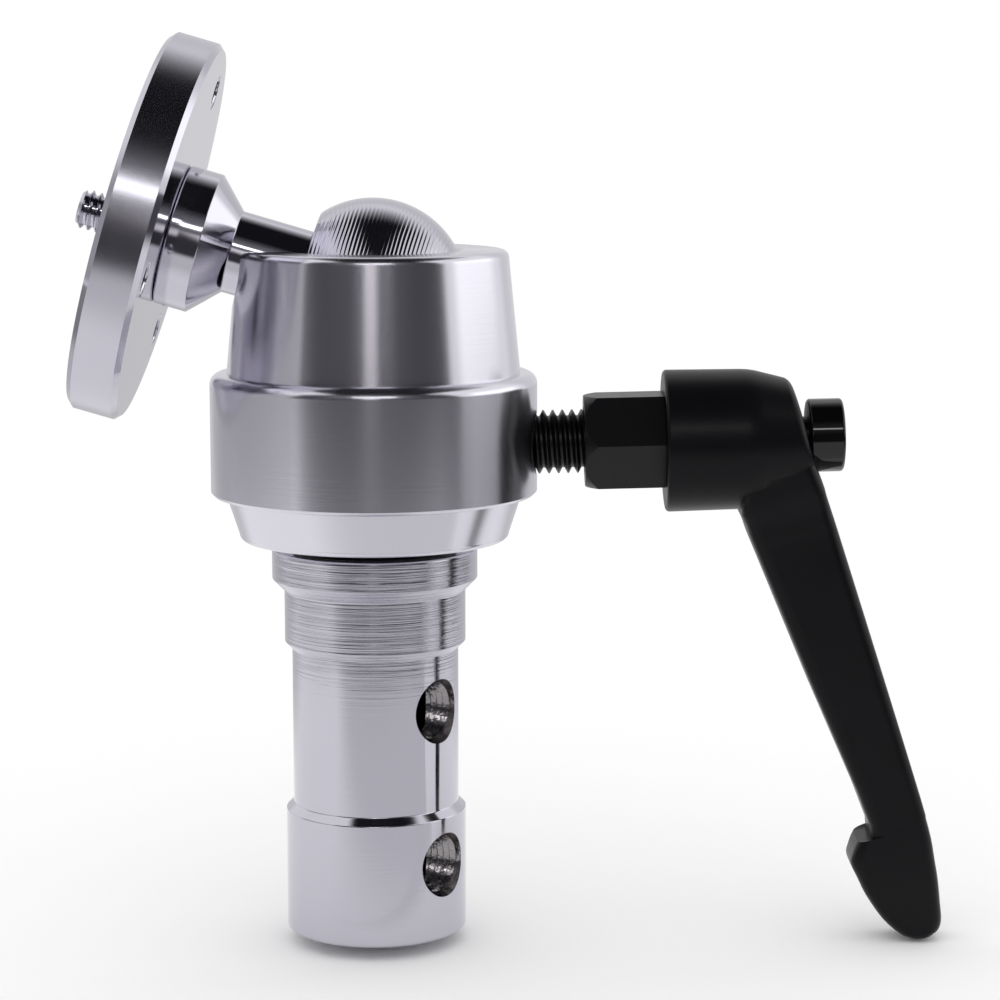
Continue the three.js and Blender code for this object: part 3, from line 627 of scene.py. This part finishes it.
def threaded_bar(name, diameter, pitch, depth, start, end, tip):
    crest = diameter / 2
    root = crest - depth
    bpy.ops.object.select_all(action="DESELECT")
    bpy.ops.mesh.primitive_plane_add(size=mm(1))
    bar = bpy.context.object
    bar.name = name
    # The ridge's corners: radius, and height as a share of the pitch. Its foot is in the bar.
    section = [(root - 0.2, 0.04), (crest, 0.44), (root - 0.2, 0.96), (crest, 0.56)]
    for vertex, (radius, share) in zip(bar.data.vertices, section):
        vertex.co = (mm(radius), 0, mm(start + (share - RUN_IN) * pitch))
    bpy.ops.object.mode_set(mode="EDIT")
    bpy.ops.mesh.select_all(action="SELECT")
    bpy.ops.mesh.delete(type="ONLY_FACE")
    bpy.ops.object.mode_set(mode="OBJECT")
    apply_modifier(bar, "SCREW", axis="Z", angle=2 * math.pi, screw_offset=mm(pitch),
                   iterations=math.ceil((end - start) / pitch) + 2, steps=64)
    only(bar)
    bpy.ops.object.mode_set(mode="EDIT")
    bpy.ops.mesh.select_all(action="SELECT")
    bpy.ops.mesh.remove_doubles(threshold=mm(0.001))
    bpy.ops.mesh.fill_holes(sides=4)
    bpy.ops.mesh.normals_make_consistent(inside=False)
    bpy.ops.object.mode_set(mode="OBJECT")
    core = turn("core", [(0, start - 2), (root, start - 2), (root, end + 2), (0, end + 2)], 96)
    cut(bar, core, "UNION")
    envelope = turn("thread_envelope", [
        (0, start), (crest + 1, start), (crest + 1, end - tip - 1), (crest - tip, end), (0, end)],
        96)
    cut(bar, envelope, "INTERSECT")
    return bar


# %% Camera stud
camera_stud = threaded_bar("threaded_camera_stud", 6.2, 1.27, 0.62, 21.52, 47.31, 0.7)
smooth(camera_stud, 30)
place(camera_stud, along_stem)
dress(camera_stud, polished_chrome)
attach(camera_stud, "plate")
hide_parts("camera_stud")
print("camera stud:", len(camera_stud.data.polygons), "faces")


# %% [markdown]
# ## Black oxide steel
# The clamping stud, the hexagon and the retaining screw are steel with a black oxide skin. The
# eye sees the skin and no bare metal, so it is drawn as a black film with a low, slightly cloudy
# shine in patches of a millimetre or so. The screw's head has been handled and oiled, so its film
# is blacker and nearly a mirror, and lights show in it as thin white lines.

# %% Black oxide
def make_black_oxide(name, roughness, film_colour, shine):
    material, tree = new_material(name)
    where = add_node(tree, "ShaderNodeTexCoord")
    cloud = add_node(tree, "ShaderNodeTexNoise", {
        "Vector": where.outputs["Object"], "Scale": waves(1.4286), "Detail": 4.0})
    uneven = add_node(tree, "ShaderNodeMapRange", {
        "Value": cloud.outputs["Fac"], "To Min": roughness * 0.85, "To Max": roughness * 1.2})
    bump = add_node(tree, "ShaderNodeBump", {
        "Height": cloud.outputs["Fac"], "Strength": 0.25, "Distance": 0.00001})
    shader = add_node(tree, "ShaderNodeBsdfPrincipled", {
        "Base Color": linear(film_colour), "IOR": 1.5, "Specular IOR Level": shine,
        "Roughness": uneven.outputs["Result"], "Normal": bump.outputs["Normal"]})
    finish_material(tree, shader)
    return material


black_oxide = make_black_oxide("black_oxide_steel", 0.32, "09090c", 0.3)
glossy_oxide = make_black_oxide("oiled_black_oxide_steel", 0.05, "060607", 0.5)
print("made", black_oxide.name, "and", glossy_oxide.name)

# %% [markdown]
# ## Clamping stud
# An M10 stud comes out of the ring and goes into the hexagon. It is wound by the same tool as the
# camera's stud, with a pitch of 1.5 mm.

# %% Clamping stud
clamp_stud = threaded_bar("threaded_clamp_stud", 10, 1.5, 0.92, 18.23, 43.1, 0.8)
smooth(clamp_stud, 30)
place(clamp_stud, along_lever)
dress(clamp_stud, black_oxide)
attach(clamp_stud, "clamp_screw")
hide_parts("clamp_stud")
print("clamping stud:", len(clamp_stud.data.polygons), "faces")


# %% [markdown]
# ## Hexagon and serrated barrel
# The hexagon is what a spanner would turn. A lathe took its six corners off at the stud's end,
# which leaves the curved chamfers, and here too it is what a six-sided bar and a turned cone have
# in common. Behind it, inside the handle, is a barrel with twenty teeth: a cylinder of forty
# sides whose every second edge is scaled in to the root.

# %% Hexagon
ACROSS_FLATS = 14.3
HEX_LENGTH = 12.45
HEX_MIDDLE = 39.225
bpy.ops.object.select_all(action="DESELECT")
bpy.ops.mesh.primitive_cylinder_add(
    vertices=6, radius=mm(ACROSS_FLATS / math.sqrt(3)), depth=mm(HEX_LENGTH),
    location=(0, 0, mm(HEX_MIDDLE)))
hexagon = bpy.context.object
hexagon.name = "hexagon_with_barrel"
bpy.ops.object.transform_apply(location=True, rotation=True, scale=True)
cut(hexagon, turn("hexagon_envelope", [
    (0, 33), (7.15, 33), (9.256, 36.8), (9.256, 45.6), (0, 45.6)], 128), "INTERSECT")
round_edges(hexagon, 0.18, segments=2, angle=20)
print("hexagon:", ACROSS_FLATS, "mm across flats")


# %% Teeth
def toothed_bar(name, root, tip, start, end, teeth=20):
    bpy.ops.object.select_all(action="DESELECT")
    bpy.ops.mesh.primitive_cylinder_add(
        vertices=2 * teeth, radius=mm(tip / 2), depth=mm(end - start),
        location=(0, 0, mm((start + end) / 2)))
    bar = bpy.context.object
    bar.name = name
    bpy.ops.object.transform_apply(location=True, rotation=True, scale=True)
    bpy.ops.object.mode_set(mode="EDIT")
    edit = bmesh.from_edit_mesh(bar.data)
    step = math.pi / teeth
    for vertex in edit.verts:
        vertex.select_set(round(math.atan2(vertex.co.y, vertex.co.x) / step) % 2 == 0)
    edit.select_flush(True)
    bmesh.update_edit_mesh(bar.data)
    bpy.ops.transform.resize(value=(root / tip, root / tip, 1), center_override=(0, 0, 0))
    bpy.ops.object.mode_set(mode="OBJECT")
    return bar


cut(hexagon, toothed_bar("barrel", 12.2, 14, 44.5, 53.7), "UNION")
cut(hexagon, turn("hexagon_bore", [
    (0, 32), (5.3, 32), (5.3, 43.4), (3.3, 43.4), (3.3, 55), (0, 55)], 64))
smooth(hexagon, 25)
place(hexagon, along_lever)
dress(hexagon, black_oxide)
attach(hexagon, "clamp_screw")
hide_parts("hex_insert")
print("hexagon with barrel:", len(hexagon.data.polygons), "faces")


# %% [markdown]
# ## Black powder coat
# The handle is a zinc casting with a fine-textured black coat. The coat is a skin of melted
# plastic grains about a fifth of a millimetre across, so one wave of the noise, a grain and the
# dip beside it, is 0.38 mm. It scatters light softly and never mirrors. Handling has polished it
# unevenly, which shows as faint patches of about 8 mm.

# %% Powder coat
def make_powder_coat():
    material, tree = new_material("textured_black_powder_coat")
    where = add_node(tree, "ShaderNodeTexCoord")
    grain = add_node(tree, "ShaderNodeTexNoise", {
        "Vector": where.outputs["Object"], "Scale": waves(0.3846), "Detail": 2.0})
    bump = add_node(tree, "ShaderNodeBump", {
        "Height": grain.outputs["Fac"], "Strength": 0.5, "Distance": 0.00003})
    patches = add_node(tree, "ShaderNodeTexNoise", {
        "Vector": where.outputs["Object"], "Scale": waves(8.333), "Detail": 3.0})
    # A Mix node's colour sockets go by number: 6 and 7 are mixed, and 2 gives the result.
    shade = add_node(tree, "ShaderNodeMix", {
        0: patches.outputs["Fac"], 6: linear("07070a"), 7: linear("0c0c10")},
        data_type="RGBA")
    shader = add_node(tree, "ShaderNodeBsdfPrincipled", {
        "Base Color": shade.outputs[2], "IOR": 1.5, "Specular IOR Level": 0.16,
        "Roughness": 0.32, "Normal": bump.outputs["Normal"]})
    finish_material(tree, shader)
    return material


powder_coat = make_powder_coat()
print("made", powder_coat.name)


# %% [markdown]
# ## Handle: the hub
# Hub and arm are one casting. The hub is turned, then cut off at a slant where the screw's head
# sits. A casting has soft corners, so its bevel is nearly ten times that of the turned pieces.
# The hub hangs a little low on the stud, in the play of its teeth.

# %% Hub
CUT_HEIGHT = 67.6
CUT_SLANT = math.radians(13.3)
HUB_SAG = 0.3
hub = turn("cast_lever_handle", [
    (0, 45.5), (10.55, 45.5), *arc(10.55, 46.1, 0.6, -90, 0, 5), (11, 57.7), (10.93, 58.7),
    (10.78, 59.7), (10.55, 60.6), (5.8, 78), (0, 78)], 160)
only(hub)
bpy.ops.object.mode_set(mode="EDIT")
bpy.ops.mesh.select_all(action="SELECT")
bpy.ops.mesh.bisect(
    plane_co=(0, 0, mm(CUT_HEIGHT)), plane_no=(-math.sin(CUT_SLANT), 0, math.cos(CUT_SLANT)),
    clear_outer=True, use_fill=True)
bpy.ops.object.mode_set(mode="OBJECT")
tidy_mesh(hub)
round_edges(hub, 1.1, segments=6, angle=30)
place(hub, Matrix.Translation((mm(HUB_SAG), 0, 0)))
print("hub:", len(hub.data.polygons), "faces")


# %% [markdown]
# ## Handle: the arm
# The arm is a bar of changing cross-section: thick and narrow at the hub, thinner towards the
# middle, then with a ledge for the thumb and a pointed tip. Each cross-section is a rounded
# rectangle between an inner and an outer edge, so the long edges are round from the start. Two
# more are worked out between each pair, on a curve that passes through all of them. The arm then
# starts as one flat face inside the hub, which is extruded from ring to ring down to the tip.

# %% Cross-sections of the arm
# Each row: inner edge out and down, outer edge out and down, width. Out is a share of ARM_REACH
# along the lever, down is a share of ARM_DROP, and the width is a share of ARM_WIDTH.
HANDLE_START = 45.5
ARM_REACH = 43
ARM_DROP = 81.3
ARM_WIDTH = 12.4
ARM_CORNER = 2.1
CORNER_POINTS = 8
arm_sections = [
    (0.27, 0.03, 0.49, -0.02, 1.38), (0.27, 0.13, 0.561, 0.077, 1.27),
    (0.275, 0.149, 0.58, 0.11, 1.2), (0.289, 0.166, 0.594, 0.133, 1.14),
    (0.305, 0.192, 0.612, 0.163, 1.1), (0.348, 0.25, 0.641, 0.213, 1.04),
    (0.527, 0.492, 0.774, 0.447, 0.93), (0.734, 0.767, 0.925, 0.717, 0.83),
    (0.69, 0.798, 0.944, 0.757, 0.82), (0.669, 0.825, 0.963, 0.798, 0.81),
    (0.664, 0.844, 0.975, 0.838, 0.8), (0.689, 0.874, 0.987, 0.879, 0.79),
    (0.718, 0.907, 0.995, 0.925, 0.77), (0.777, 0.955, 1, 0.955, 0.75),
    (0.836, 0.986, 0.997, 0.974, 0.71), (0.866, 0.996, 0.987, 0.985, 0.66),
    (0.895, 1, 0.965, 0.994, 0.58), (0.912, 1.001, 0.945, 0.999, 0.46),
]


def section_ring(section):
    inner_out, inner_down, outer_out, outer_down, width = section
    inner = Vector((mm(inner_down * ARM_DROP), 0, mm(HANDLE_START + inner_out * ARM_REACH)))
    outer = Vector((mm(outer_down * ARM_DROP), 0, mm(HANDLE_START + outer_out * ARM_REACH)))
    across, middle = outer - inner, (inner + outer) / 2
    half_depth, half_width = across.length / 2, mm(width * ARM_WIDTH / 2)
    corner = min(mm(ARM_CORNER), half_depth * 0.95, half_width * 0.95)
    ring = []
    for quarter in range(4):
        for step in range(CORNER_POINTS):
            angle = math.pi / 2 * (quarter + step / (CORNER_POINTS - 1))
            side = math.pi / 2 * quarter + math.pi / 4
            along = corner * math.cos(angle) + math.copysign(half_depth - corner, math.cos(side))
            wide = corner * math.sin(angle) + math.copysign(half_width - corner, math.sin(side))
            ring.append(middle + across.normalized() * along + Vector((0, wide, 0)))
    return ring


def between(before, start, end, after, share):
    return [0.5 * (2 * b + (c - a) * share + (2 * a - 5 * b + 4 * c - d) * share ** 2
                   + (3 * b - a - 3 * c + d) * share ** 3)
            for a, b, c, d in zip(before, start, end, after)]


ends = [arm_sections[0], *arm_sections, arm_sections[-1]]
fine_sections = [between(*ends[i:i + 4], step / 3)
                 for i in range(len(arm_sections) - 1) for step in range(3)]
rings = [section_ring(section) for section in [*fine_sections, arm_sections[-1]]]
print("arm:", len(rings), "rings of", len(rings[0]), "points")

# %% Arm
bpy.ops.object.select_all(action="DESELECT")
bpy.ops.mesh.primitive_circle_add(vertices=len(rings[0]), radius=mm(5), fill_type="NGON")
arm = bpy.context.object
for vertex, corner in zip(arm.data.vertices, rings[0]):
    vertex.co = corner
bpy.ops.object.mode_set(mode="EDIT")
bpy.ops.mesh.select_mode(type="VERT")
bpy.ops.mesh.select_all(action="SELECT")
for ring, next_ring in zip(rings, rings[1:]):
    bpy.ops.mesh.extrude_region_move()
    edit = bmesh.from_edit_mesh(arm.data)
    for vertex in [v for v in edit.verts if v.select]:
        nearest = min(range(len(ring)), key=lambda i: (ring[i] - vertex.co).length_squared)
        vertex.co = next_ring[nearest]
    bmesh.update_edit_mesh(arm.data)
bpy.ops.object.mode_set(mode="OBJECT")
tidy_mesh(arm, 0.005)
cut(hub, arm, "UNION")
print("hub and arm:", len(hub.data.polygons), "faces")


# %% [markdown]
# ## Handle: the bores
# From the hexagon's side come a wide mouth and the twenty inner teeth that the barrel sits in.
# From the other side comes the bore of the spring, into which the screw's head sinks when the
# handle is pulled. One turned tool cuts both, and the teeth come from the function that made the
# barrel's, a little larger.

# %% Handle bores
cut(hub, turn("handle_bore", [
    (0, 44), (7.2, 44), (7.2, 49.7), (3.3, 49.7), (3.3, 56.6), (6.05, 56.6), (6.05, 80),
    (0, 80)], 96))
cut(hub, toothed_bar("handle_teeth", 12.8, 14.6, 48.7, 54))
smooth(hub, 35)
place(hub, along_lever)
dress(hub, powder_coat)
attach(hub, "handle")
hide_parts("lever_handle")
print("handle:", len(hub.data.polygons), "faces")


# %% [markdown]
# ## Retaining screw
# The screw holds the handle on its teeth. Only its plain round head shows, with a hexagon socket
# in the end. The head is turned with half-millimetre round edges, and a six-sided tool cuts the
# socket. Fingers and oil reach the head's outside only, so its underside and the shank keep the
# plain oxide.

# %% Retaining screw
KEY_WIDTH = 5
KEY_LENGTH = 4.4
KEY_MIDDLE = 72.3
HEAD_UNDERSIDE = 68.3
screw = turn("retaining_screw", [
    (0, 46.7), (2.8, 46.7), (3, 46.9), (3, 68), *arc(5.25, 68.5, 0.5, -90, 0, 4),
    *arc(5.25, 73, 0.5, 0, 90, 4), (0, 73.5)], 128)
bpy.ops.object.select_all(action="DESELECT")
bpy.ops.mesh.primitive_cylinder_add(
    vertices=6, radius=mm(KEY_WIDTH / math.sqrt(3)), depth=mm(KEY_LENGTH),
    location=(0, 0, mm(KEY_MIDDLE)), rotation=(0, 0, math.pi / 6))
key_tool = bpy.context.object
bpy.ops.object.transform_apply(location=True, rotation=True, scale=True)
cut(screw, key_tool)
smooth(screw, 35)
dress(screw, glossy_oxide)
screw.data.materials.append(black_oxide)
for face in screw.data.polygons:
    if face.center.z < mm(HEAD_UNDERSIDE):
        face.material_index = 1
place(screw, along_lever)
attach(screw, "clamp_screw")
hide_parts("lever_screw")
print("screw:", len(screw.data.polygons), "faces")


# %% [markdown]
# ## Spring steel
# Spring wire is drawn through a die and left bare. It is a mid-grey metal with a soft gleam that
# varies along the wire, from scratches too fine to count. They are drawn as patches of roughness
# half a millimetre long.

# %% Spring steel
def make_spring_steel():
    material, tree = new_material("drawn_spring_steel_wire")
    where = add_node(tree, "ShaderNodeTexCoord")
    scratches = add_node(tree, "ShaderNodeTexNoise", {
        "Vector": where.outputs["Object"], "Scale": waves(0.4545), "Detail": 2.0})
    rough = add_node(tree, "ShaderNodeMapRange", {
        "Value": scratches.outputs["Fac"], "To Min": 0.22, "To Max": 0.38})
    shader = add_node(tree, "ShaderNodeBsdfPrincipled", {
        "Base Color": linear("a5a6ab"), "Metallic": 1.0, "Roughness": rough.outputs["Result"]})
    finish_material(tree, shader)
    return material


spring_steel = make_spring_steel()
print("made", spring_steel.name)


# %% [markdown]
# ## Lever spring
# The spring pushes the handle back onto its teeth. It is a wire wound round the screw's shank:
# a curve with twenty-four points to a turn and a round bevel, made a mesh at the end. Its outer
# end stays under the screw's head while the handle is pulled, and at the full pull it is squashed
# to about half its length.

# %% Lever spring
WIRE = 0.9
COIL_RADIUS = 4.4
POINTS_PER_TURN = 24
first, last, turns = 57.35, 67.25, 5
path = bpy.data.curves.new("spring_path", "CURVE")
path.dimensions = "3D"
path.bevel_depth = mm(WIRE / 2)
path.bevel_resolution = 3
path.use_fill_caps = True
line = path.splines.new("POLY")
line.points.add(turns * POINTS_PER_TURN)
for i, point in enumerate(line.points):
    angle = i / POINTS_PER_TURN * 2 * math.pi
    height = first + (last - first) * i / (turns * POINTS_PER_TURN)
    point.co = (mm(COIL_RADIUS * math.cos(angle)), mm(COIL_RADIUS * math.sin(angle)),
                mm(height), 1)
spring = bpy.data.objects.new("wound_lever_spring", path)
bpy.context.scene.collection.objects.link(spring)
only(spring)
bpy.ops.object.convert(target="MESH")
spring = bpy.context.object
tidy_mesh(spring, 0.002)
smooth(spring, 50)
place(spring, along_lever)
dress(spring, spring_steel)
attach(spring, "clamp_screw")
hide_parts("lever_spring")
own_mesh(spring)
print("spring:", len(spring.data.polygons), "faces")


# %% [markdown]
# ## Pieces inside
# The liner, the seat cup, the disc spring, the plunger, the cone, the washer, the dowels and the
# screw into the spigot hardly show. They keep their CAD shapes and get the finish of what they
# are. Moulded nylon is black with a dull, waxy shine, and its skin is drawn with waves of 0.7 mm,
# coarser than the mould's, so that it shows. Brass is a yellow metal whose shine dulls in patches
# of a few millimetres. The springs and dowels are plain spring steel.

# %% Nylon and brass
def make_nylon():
    material, tree = new_material("moulded_black_nylon")
    where = add_node(tree, "ShaderNodeTexCoord")
    skin = add_node(tree, "ShaderNodeTexNoise", {
        "Vector": where.outputs["Object"], "Scale": waves(0.6667), "Detail": 2.0})
    bump = add_node(tree, "ShaderNodeBump", {
        "Height": skin.outputs["Fac"], "Strength": 0.3, "Distance": 0.00001})
    shader = add_node(tree, "ShaderNodeBsdfPrincipled", {
        "Base Color": linear("202022"), "IOR": 1.53, "Roughness": 0.5,
        "Normal": bump.outputs["Normal"]})
    finish_material(tree, shader)
    return material


def make_brass():
    material, tree = new_material("turned_brass")
    where = add_node(tree, "ShaderNodeTexCoord")
    tarnish = add_node(tree, "ShaderNodeTexNoise", {
        "Vector": where.outputs["Object"], "Scale": waves(3.333), "Detail": 3.0})
    rough = add_node(tree, "ShaderNodeMapRange", {
        "Value": tarnish.outputs["Fac"], "To Min": 0.25, "To Max": 0.45})
    shader = add_node(tree, "ShaderNodeBsdfPrincipled", {
        "Base Color": linear("d8bf82"), "Metallic": 1.0, "Roughness": rough.outputs["Result"]})
    finish_material(tree, shader)
    return material


nylon = make_nylon()
brass = make_brass()
inside = {
    nylon: ["upper_liner", "ball_seat", "spigot_washer"],
    brass: ["lift_plunger", "thrust_cone"],
    spring_steel: ["disc_spring", "plate_dowel_1", "plate_dowel_2"],
    black_oxide: ["spigot_screw"],
}
for material, names in inside.items():
    for name in names:
        dress(nodes[name], material)
print("inside pieces dressed:", sum(len(names) for names in inside.values()))


# %% [markdown]
# ## Floor
# The object stands on a plain white floor. The handle's tip reaches 2 mm below the spigot's end,
# so the floor lies 2.3 mm down. A matt surface is enough: it takes the soft shadow and nothing
# else.

# %% Floor
FLOOR_HEIGHT = -2.3
bpy.ops.object.select_all(action="DESELECT")
bpy.ops.mesh.primitive_plane_add(size=1, location=(0, 0.5, mm(FLOOR_HEIGHT)))
floor = bpy.context.object
floor.name = "floor"
floor.scale = (4.0, 3.6, 1)
bpy.ops.object.transform_apply(location=True, rotation=True, scale=True)
floor_material, tree = new_material("matt_white_floor")
white_floor = add_node(tree, "ShaderNodeBsdfDiffuse", {"Color": (1, 1, 1, 1)})
finish_material(tree, white_floor)
dress(floor, floor_material)
print("floor", [round(side, 2) for side in floor.dimensions[:2]], "m")


# %% [markdown]
# ## Studio cards
# Polished metal needs something dark to show its form, so a photographer hangs black cloth in
# front and overhead. Here these are cards that only reflections see. Their edges are soft, because
# cloth that is out of the light fades. Cards just above the floor are what the chrome sees of it:
# a light painted shade close in front, black cloth farther out, grey to the left, nearly black to
# the right and pale behind; close behind the object that pale card is a painted shadow of it on
# the floor. A long soft light draws the bright band on every round piece, another stands at the
# right, and the gap in the cloth that the camera looks through gives the narrow bright streak on
# the collar.

# %% Card tool
def card(name, corners, light, fade):
    bpy.ops.object.select_all(action="DESELECT")
    bpy.ops.mesh.primitive_plane_add(size=1)
    sheet = bpy.context.object
    sheet.name = name
    # A plane's points are numbered row by row, so a walk round it goes 0, 1, 3, 2.
    for index, corner in zip((0, 1, 3, 2), corners):
        sheet.data.vertices[index].co = corner
    material, tree = new_material(name)
    where = add_node(tree, "ShaderNodeTexCoord")
    across = add_node(tree, "ShaderNodeSeparateXYZ", {"Vector": where.outputs["UV"]})
    shown = 1.0
    for side, width in enumerate(fade):
        if width:
            start, end = (0.0, width) if side % 2 == 0 else (1.0, 1.0 - width)
            edge = add_node(tree, "ShaderNodeMapRange", {
                "Value": across.outputs["XXYY"[side]], "From Min": start, "From Max": end},
                interpolation_type="SMOOTHSTEP")
            shown = add_node(tree, "ShaderNodeMath", {
                0: edge.outputs["Result"], 1: shown}, operation="MULTIPLY").outputs[0]
    clear = add_node(tree, "ShaderNodeBsdfTransparent")
    glow = add_node(tree, "ShaderNodeEmission", {
        "Color": (*[channel / max(light) for channel in light], 1), "Strength": max(light)})
    finish_material(tree, add_node(tree, "ShaderNodeMixShader", {
        0: shown, 1: clear.outputs[0], 2: glow.outputs[0]}))
    dress(sheet, material)
    for kind in ("camera", "diffuse", "shadow", "transmission"):
        setattr(sheet, "visible_" + kind, False)
    print("card", name, "gives", max(light))


# %% Cards
# Corners in metres, the light of each channel, and the share of each side that fades: left,
# right, bottom and top as the card's own corners run.
BLACK = (0.045, 0.045, 0.05)
# Painted shade: the floor in front, seen only in reflections, darker than the evenly lit floor.
card("floor_shade", [(-0.03, -0.02, 0.0004), (0.06, -0.02, 0.0004), (1.25, -0.4, 0.0004),
                     (-0.56, -0.4, 0.0004)], (0.72, 0.72, 0.73), (0.07, 0.07, 0.03, 0))
card("floor_cloth", [(-0.42, -0.22, 0.001), (0.5, -0.22, 0.001), (2.4, -1.0, 0.001),
                     (-1.6, -1.0, 0.001)], BLACK, (0.12, 0.12, 0.16, 0))
card("left_floor", [(-1.7, -1.1, 0.0012), (-0.28, -0.3, 0.0012), (-0.28, 0.8, 0.0012),
                    (-1.7, 0.8, 0.0012)], (0.3, 0.3, 0.31), (0, 0.09, 0.1, 0.2))
card("right_floor", [(0.2, -0.3, 0.0012), (1.5, -1.0, 0.0012), (1.5, 0.9, 0.0012),
                     (0.2, 0.3, 0.0012)], (0.08, 0.08, 0.09), (0.1, 0, 0.1, 0.2))
# Painted shadow: behind the object this card stands in for its shadow on the floor, seen only in
# reflections.
card("back_floor_and_shadow", [(-1.7, 0.07, 0.0008), (1.5, 0.07, 0.0008), (1.5, 1.0, 0.0008),
                    (-1.7, 1.0, 0.0008)], (0.62, 0.62, 0.63), (0.1, 0.1, 0.12, 0))
card("front_cloth", [(-1.6, -0.9, -0.3), (2.3, -0.9, -0.3), (1.4, -0.9, 1.15),
                     (-1.25, -0.9, 1.15)], BLACK, (0.07, 0.07, 0, 0))
card("top_cloth", [(-0.6, -0.9, 1.15), (0.95, -0.9, 1.15), (0.9, 1.05, 1.15),
                   (-0.58, 1.05, 1.15)], (0.01, 0.01, 0.012), (0.12, 0.12, 0, 0.45))
card("front_glow", [(-0.8, -0.88, 0.2), (0.8, -0.88, 0.2), (0.8, -0.88, 1.05),
                    (-0.8, -0.88, 1.05)], (0.18, 0.18, 0.19), (0.3, 0.3, 0.25, 0.45))
card("front_softbox", [(-0.24, -0.85, 0.44), (0.34, -0.85, 0.44), (0.34, -0.84, 0.55),
                       (-0.24, -0.84, 0.55)], (6.0, 6.0, 6.0), (0.2, 0.2, 0.35, 0.35))
card("camera_gap", [(-0.055, -0.44, 0.095), (0.06, -0.44, 0.095), (0.06, -0.44, 0.24),
                    (-0.055, -0.44, 0.24)], (1.3, 1.25, 1.25), (0.35, 0.35, 0.5, 0.3))
card("left_wall", [(-1.7, -1.2, 0.0), (-1.7, 0.9, 0.0), (-1.7, 0.9, 1.3), (-1.7, -1.2, 1.3)],
     (0.45, 0.45, 0.46), (0.1, 0.3, 0.05, 0.4))
card("back_wall", [(-0.9, 1.0, 0.0), (1.2, 1.0, 0.0), (1.2, 1.0, 1.3), (-0.9, 1.0, 1.3)],
     (0.74, 0.74, 0.75), (0.2, 0.2, 0, 0.5))
card("right_softbox", [(1.5, -0.55, 0.1), (1.5, 1.2, 0.1), (1.5, 1.2, 0.9), (1.5, -0.55, 0.9)],
     (1.7, 1.7, 1.7), (0.14, 0.3, 0.15, 0.4))

# %% [markdown]
# ## Light, room and camera
# One large soft lamp above the camera lights the matt pieces and the floor. Reflections don't see
# it, because the cards already give them their lights. The room is plain white, which is also
# the background. The camera was fitted to the photograph's outlines: it looks down by 8.4 degrees
# from 0.44 m away, and its long lens keeps the spigot's sides nearly upright.

# %% Light and world
bpy.ops.object.light_add(type="AREA", location=(-0.04, -0.8, 0.9))
front_light = bpy.context.object
front_light.name = "soft_light"
front_light.data.shape = "RECTANGLE"
front_light.data.size = 0.8
front_light.data.size_y = 0.5
front_light.data.energy = 0.5
front_light.rotation_euler = (math.radians(42), 0, 0)
front_light.visible_camera = False
front_light.visible_glossy = False

world = bpy.data.worlds.new("white_room")
bpy.context.scene.world = world
world.use_nodes = True
tree = world.node_tree
tree.nodes.clear()
room = add_node(tree, "ShaderNodeBackground", {"Color": (1, 1, 1, 1), "Strength": 1.0})
add_node(tree, "ShaderNodeOutputWorld", {"Surface": room.outputs[0]})
bpy.context.scene.view_settings.view_transform = "Standard"
print("lamp", front_light.data.energy, "W, room", tuple(room.inputs["Color"].default_value))

# %% Camera
camera_data = bpy.data.cameras.new("camera")
camera_data.lens = 102.6
camera_data.sensor_width = 36
camera_data.clip_start = 0.01
camera = bpy.data.objects.new("camera", camera_data)
camera.location = (0.01977, -0.44420, 0.13416)
camera.rotation_euler = (math.radians(81.62), 0, 0)
bpy.context.scene.collection.objects.link(camera)
bpy.context.scene.camera = camera
print("camera", camera_data.lens, "mm")
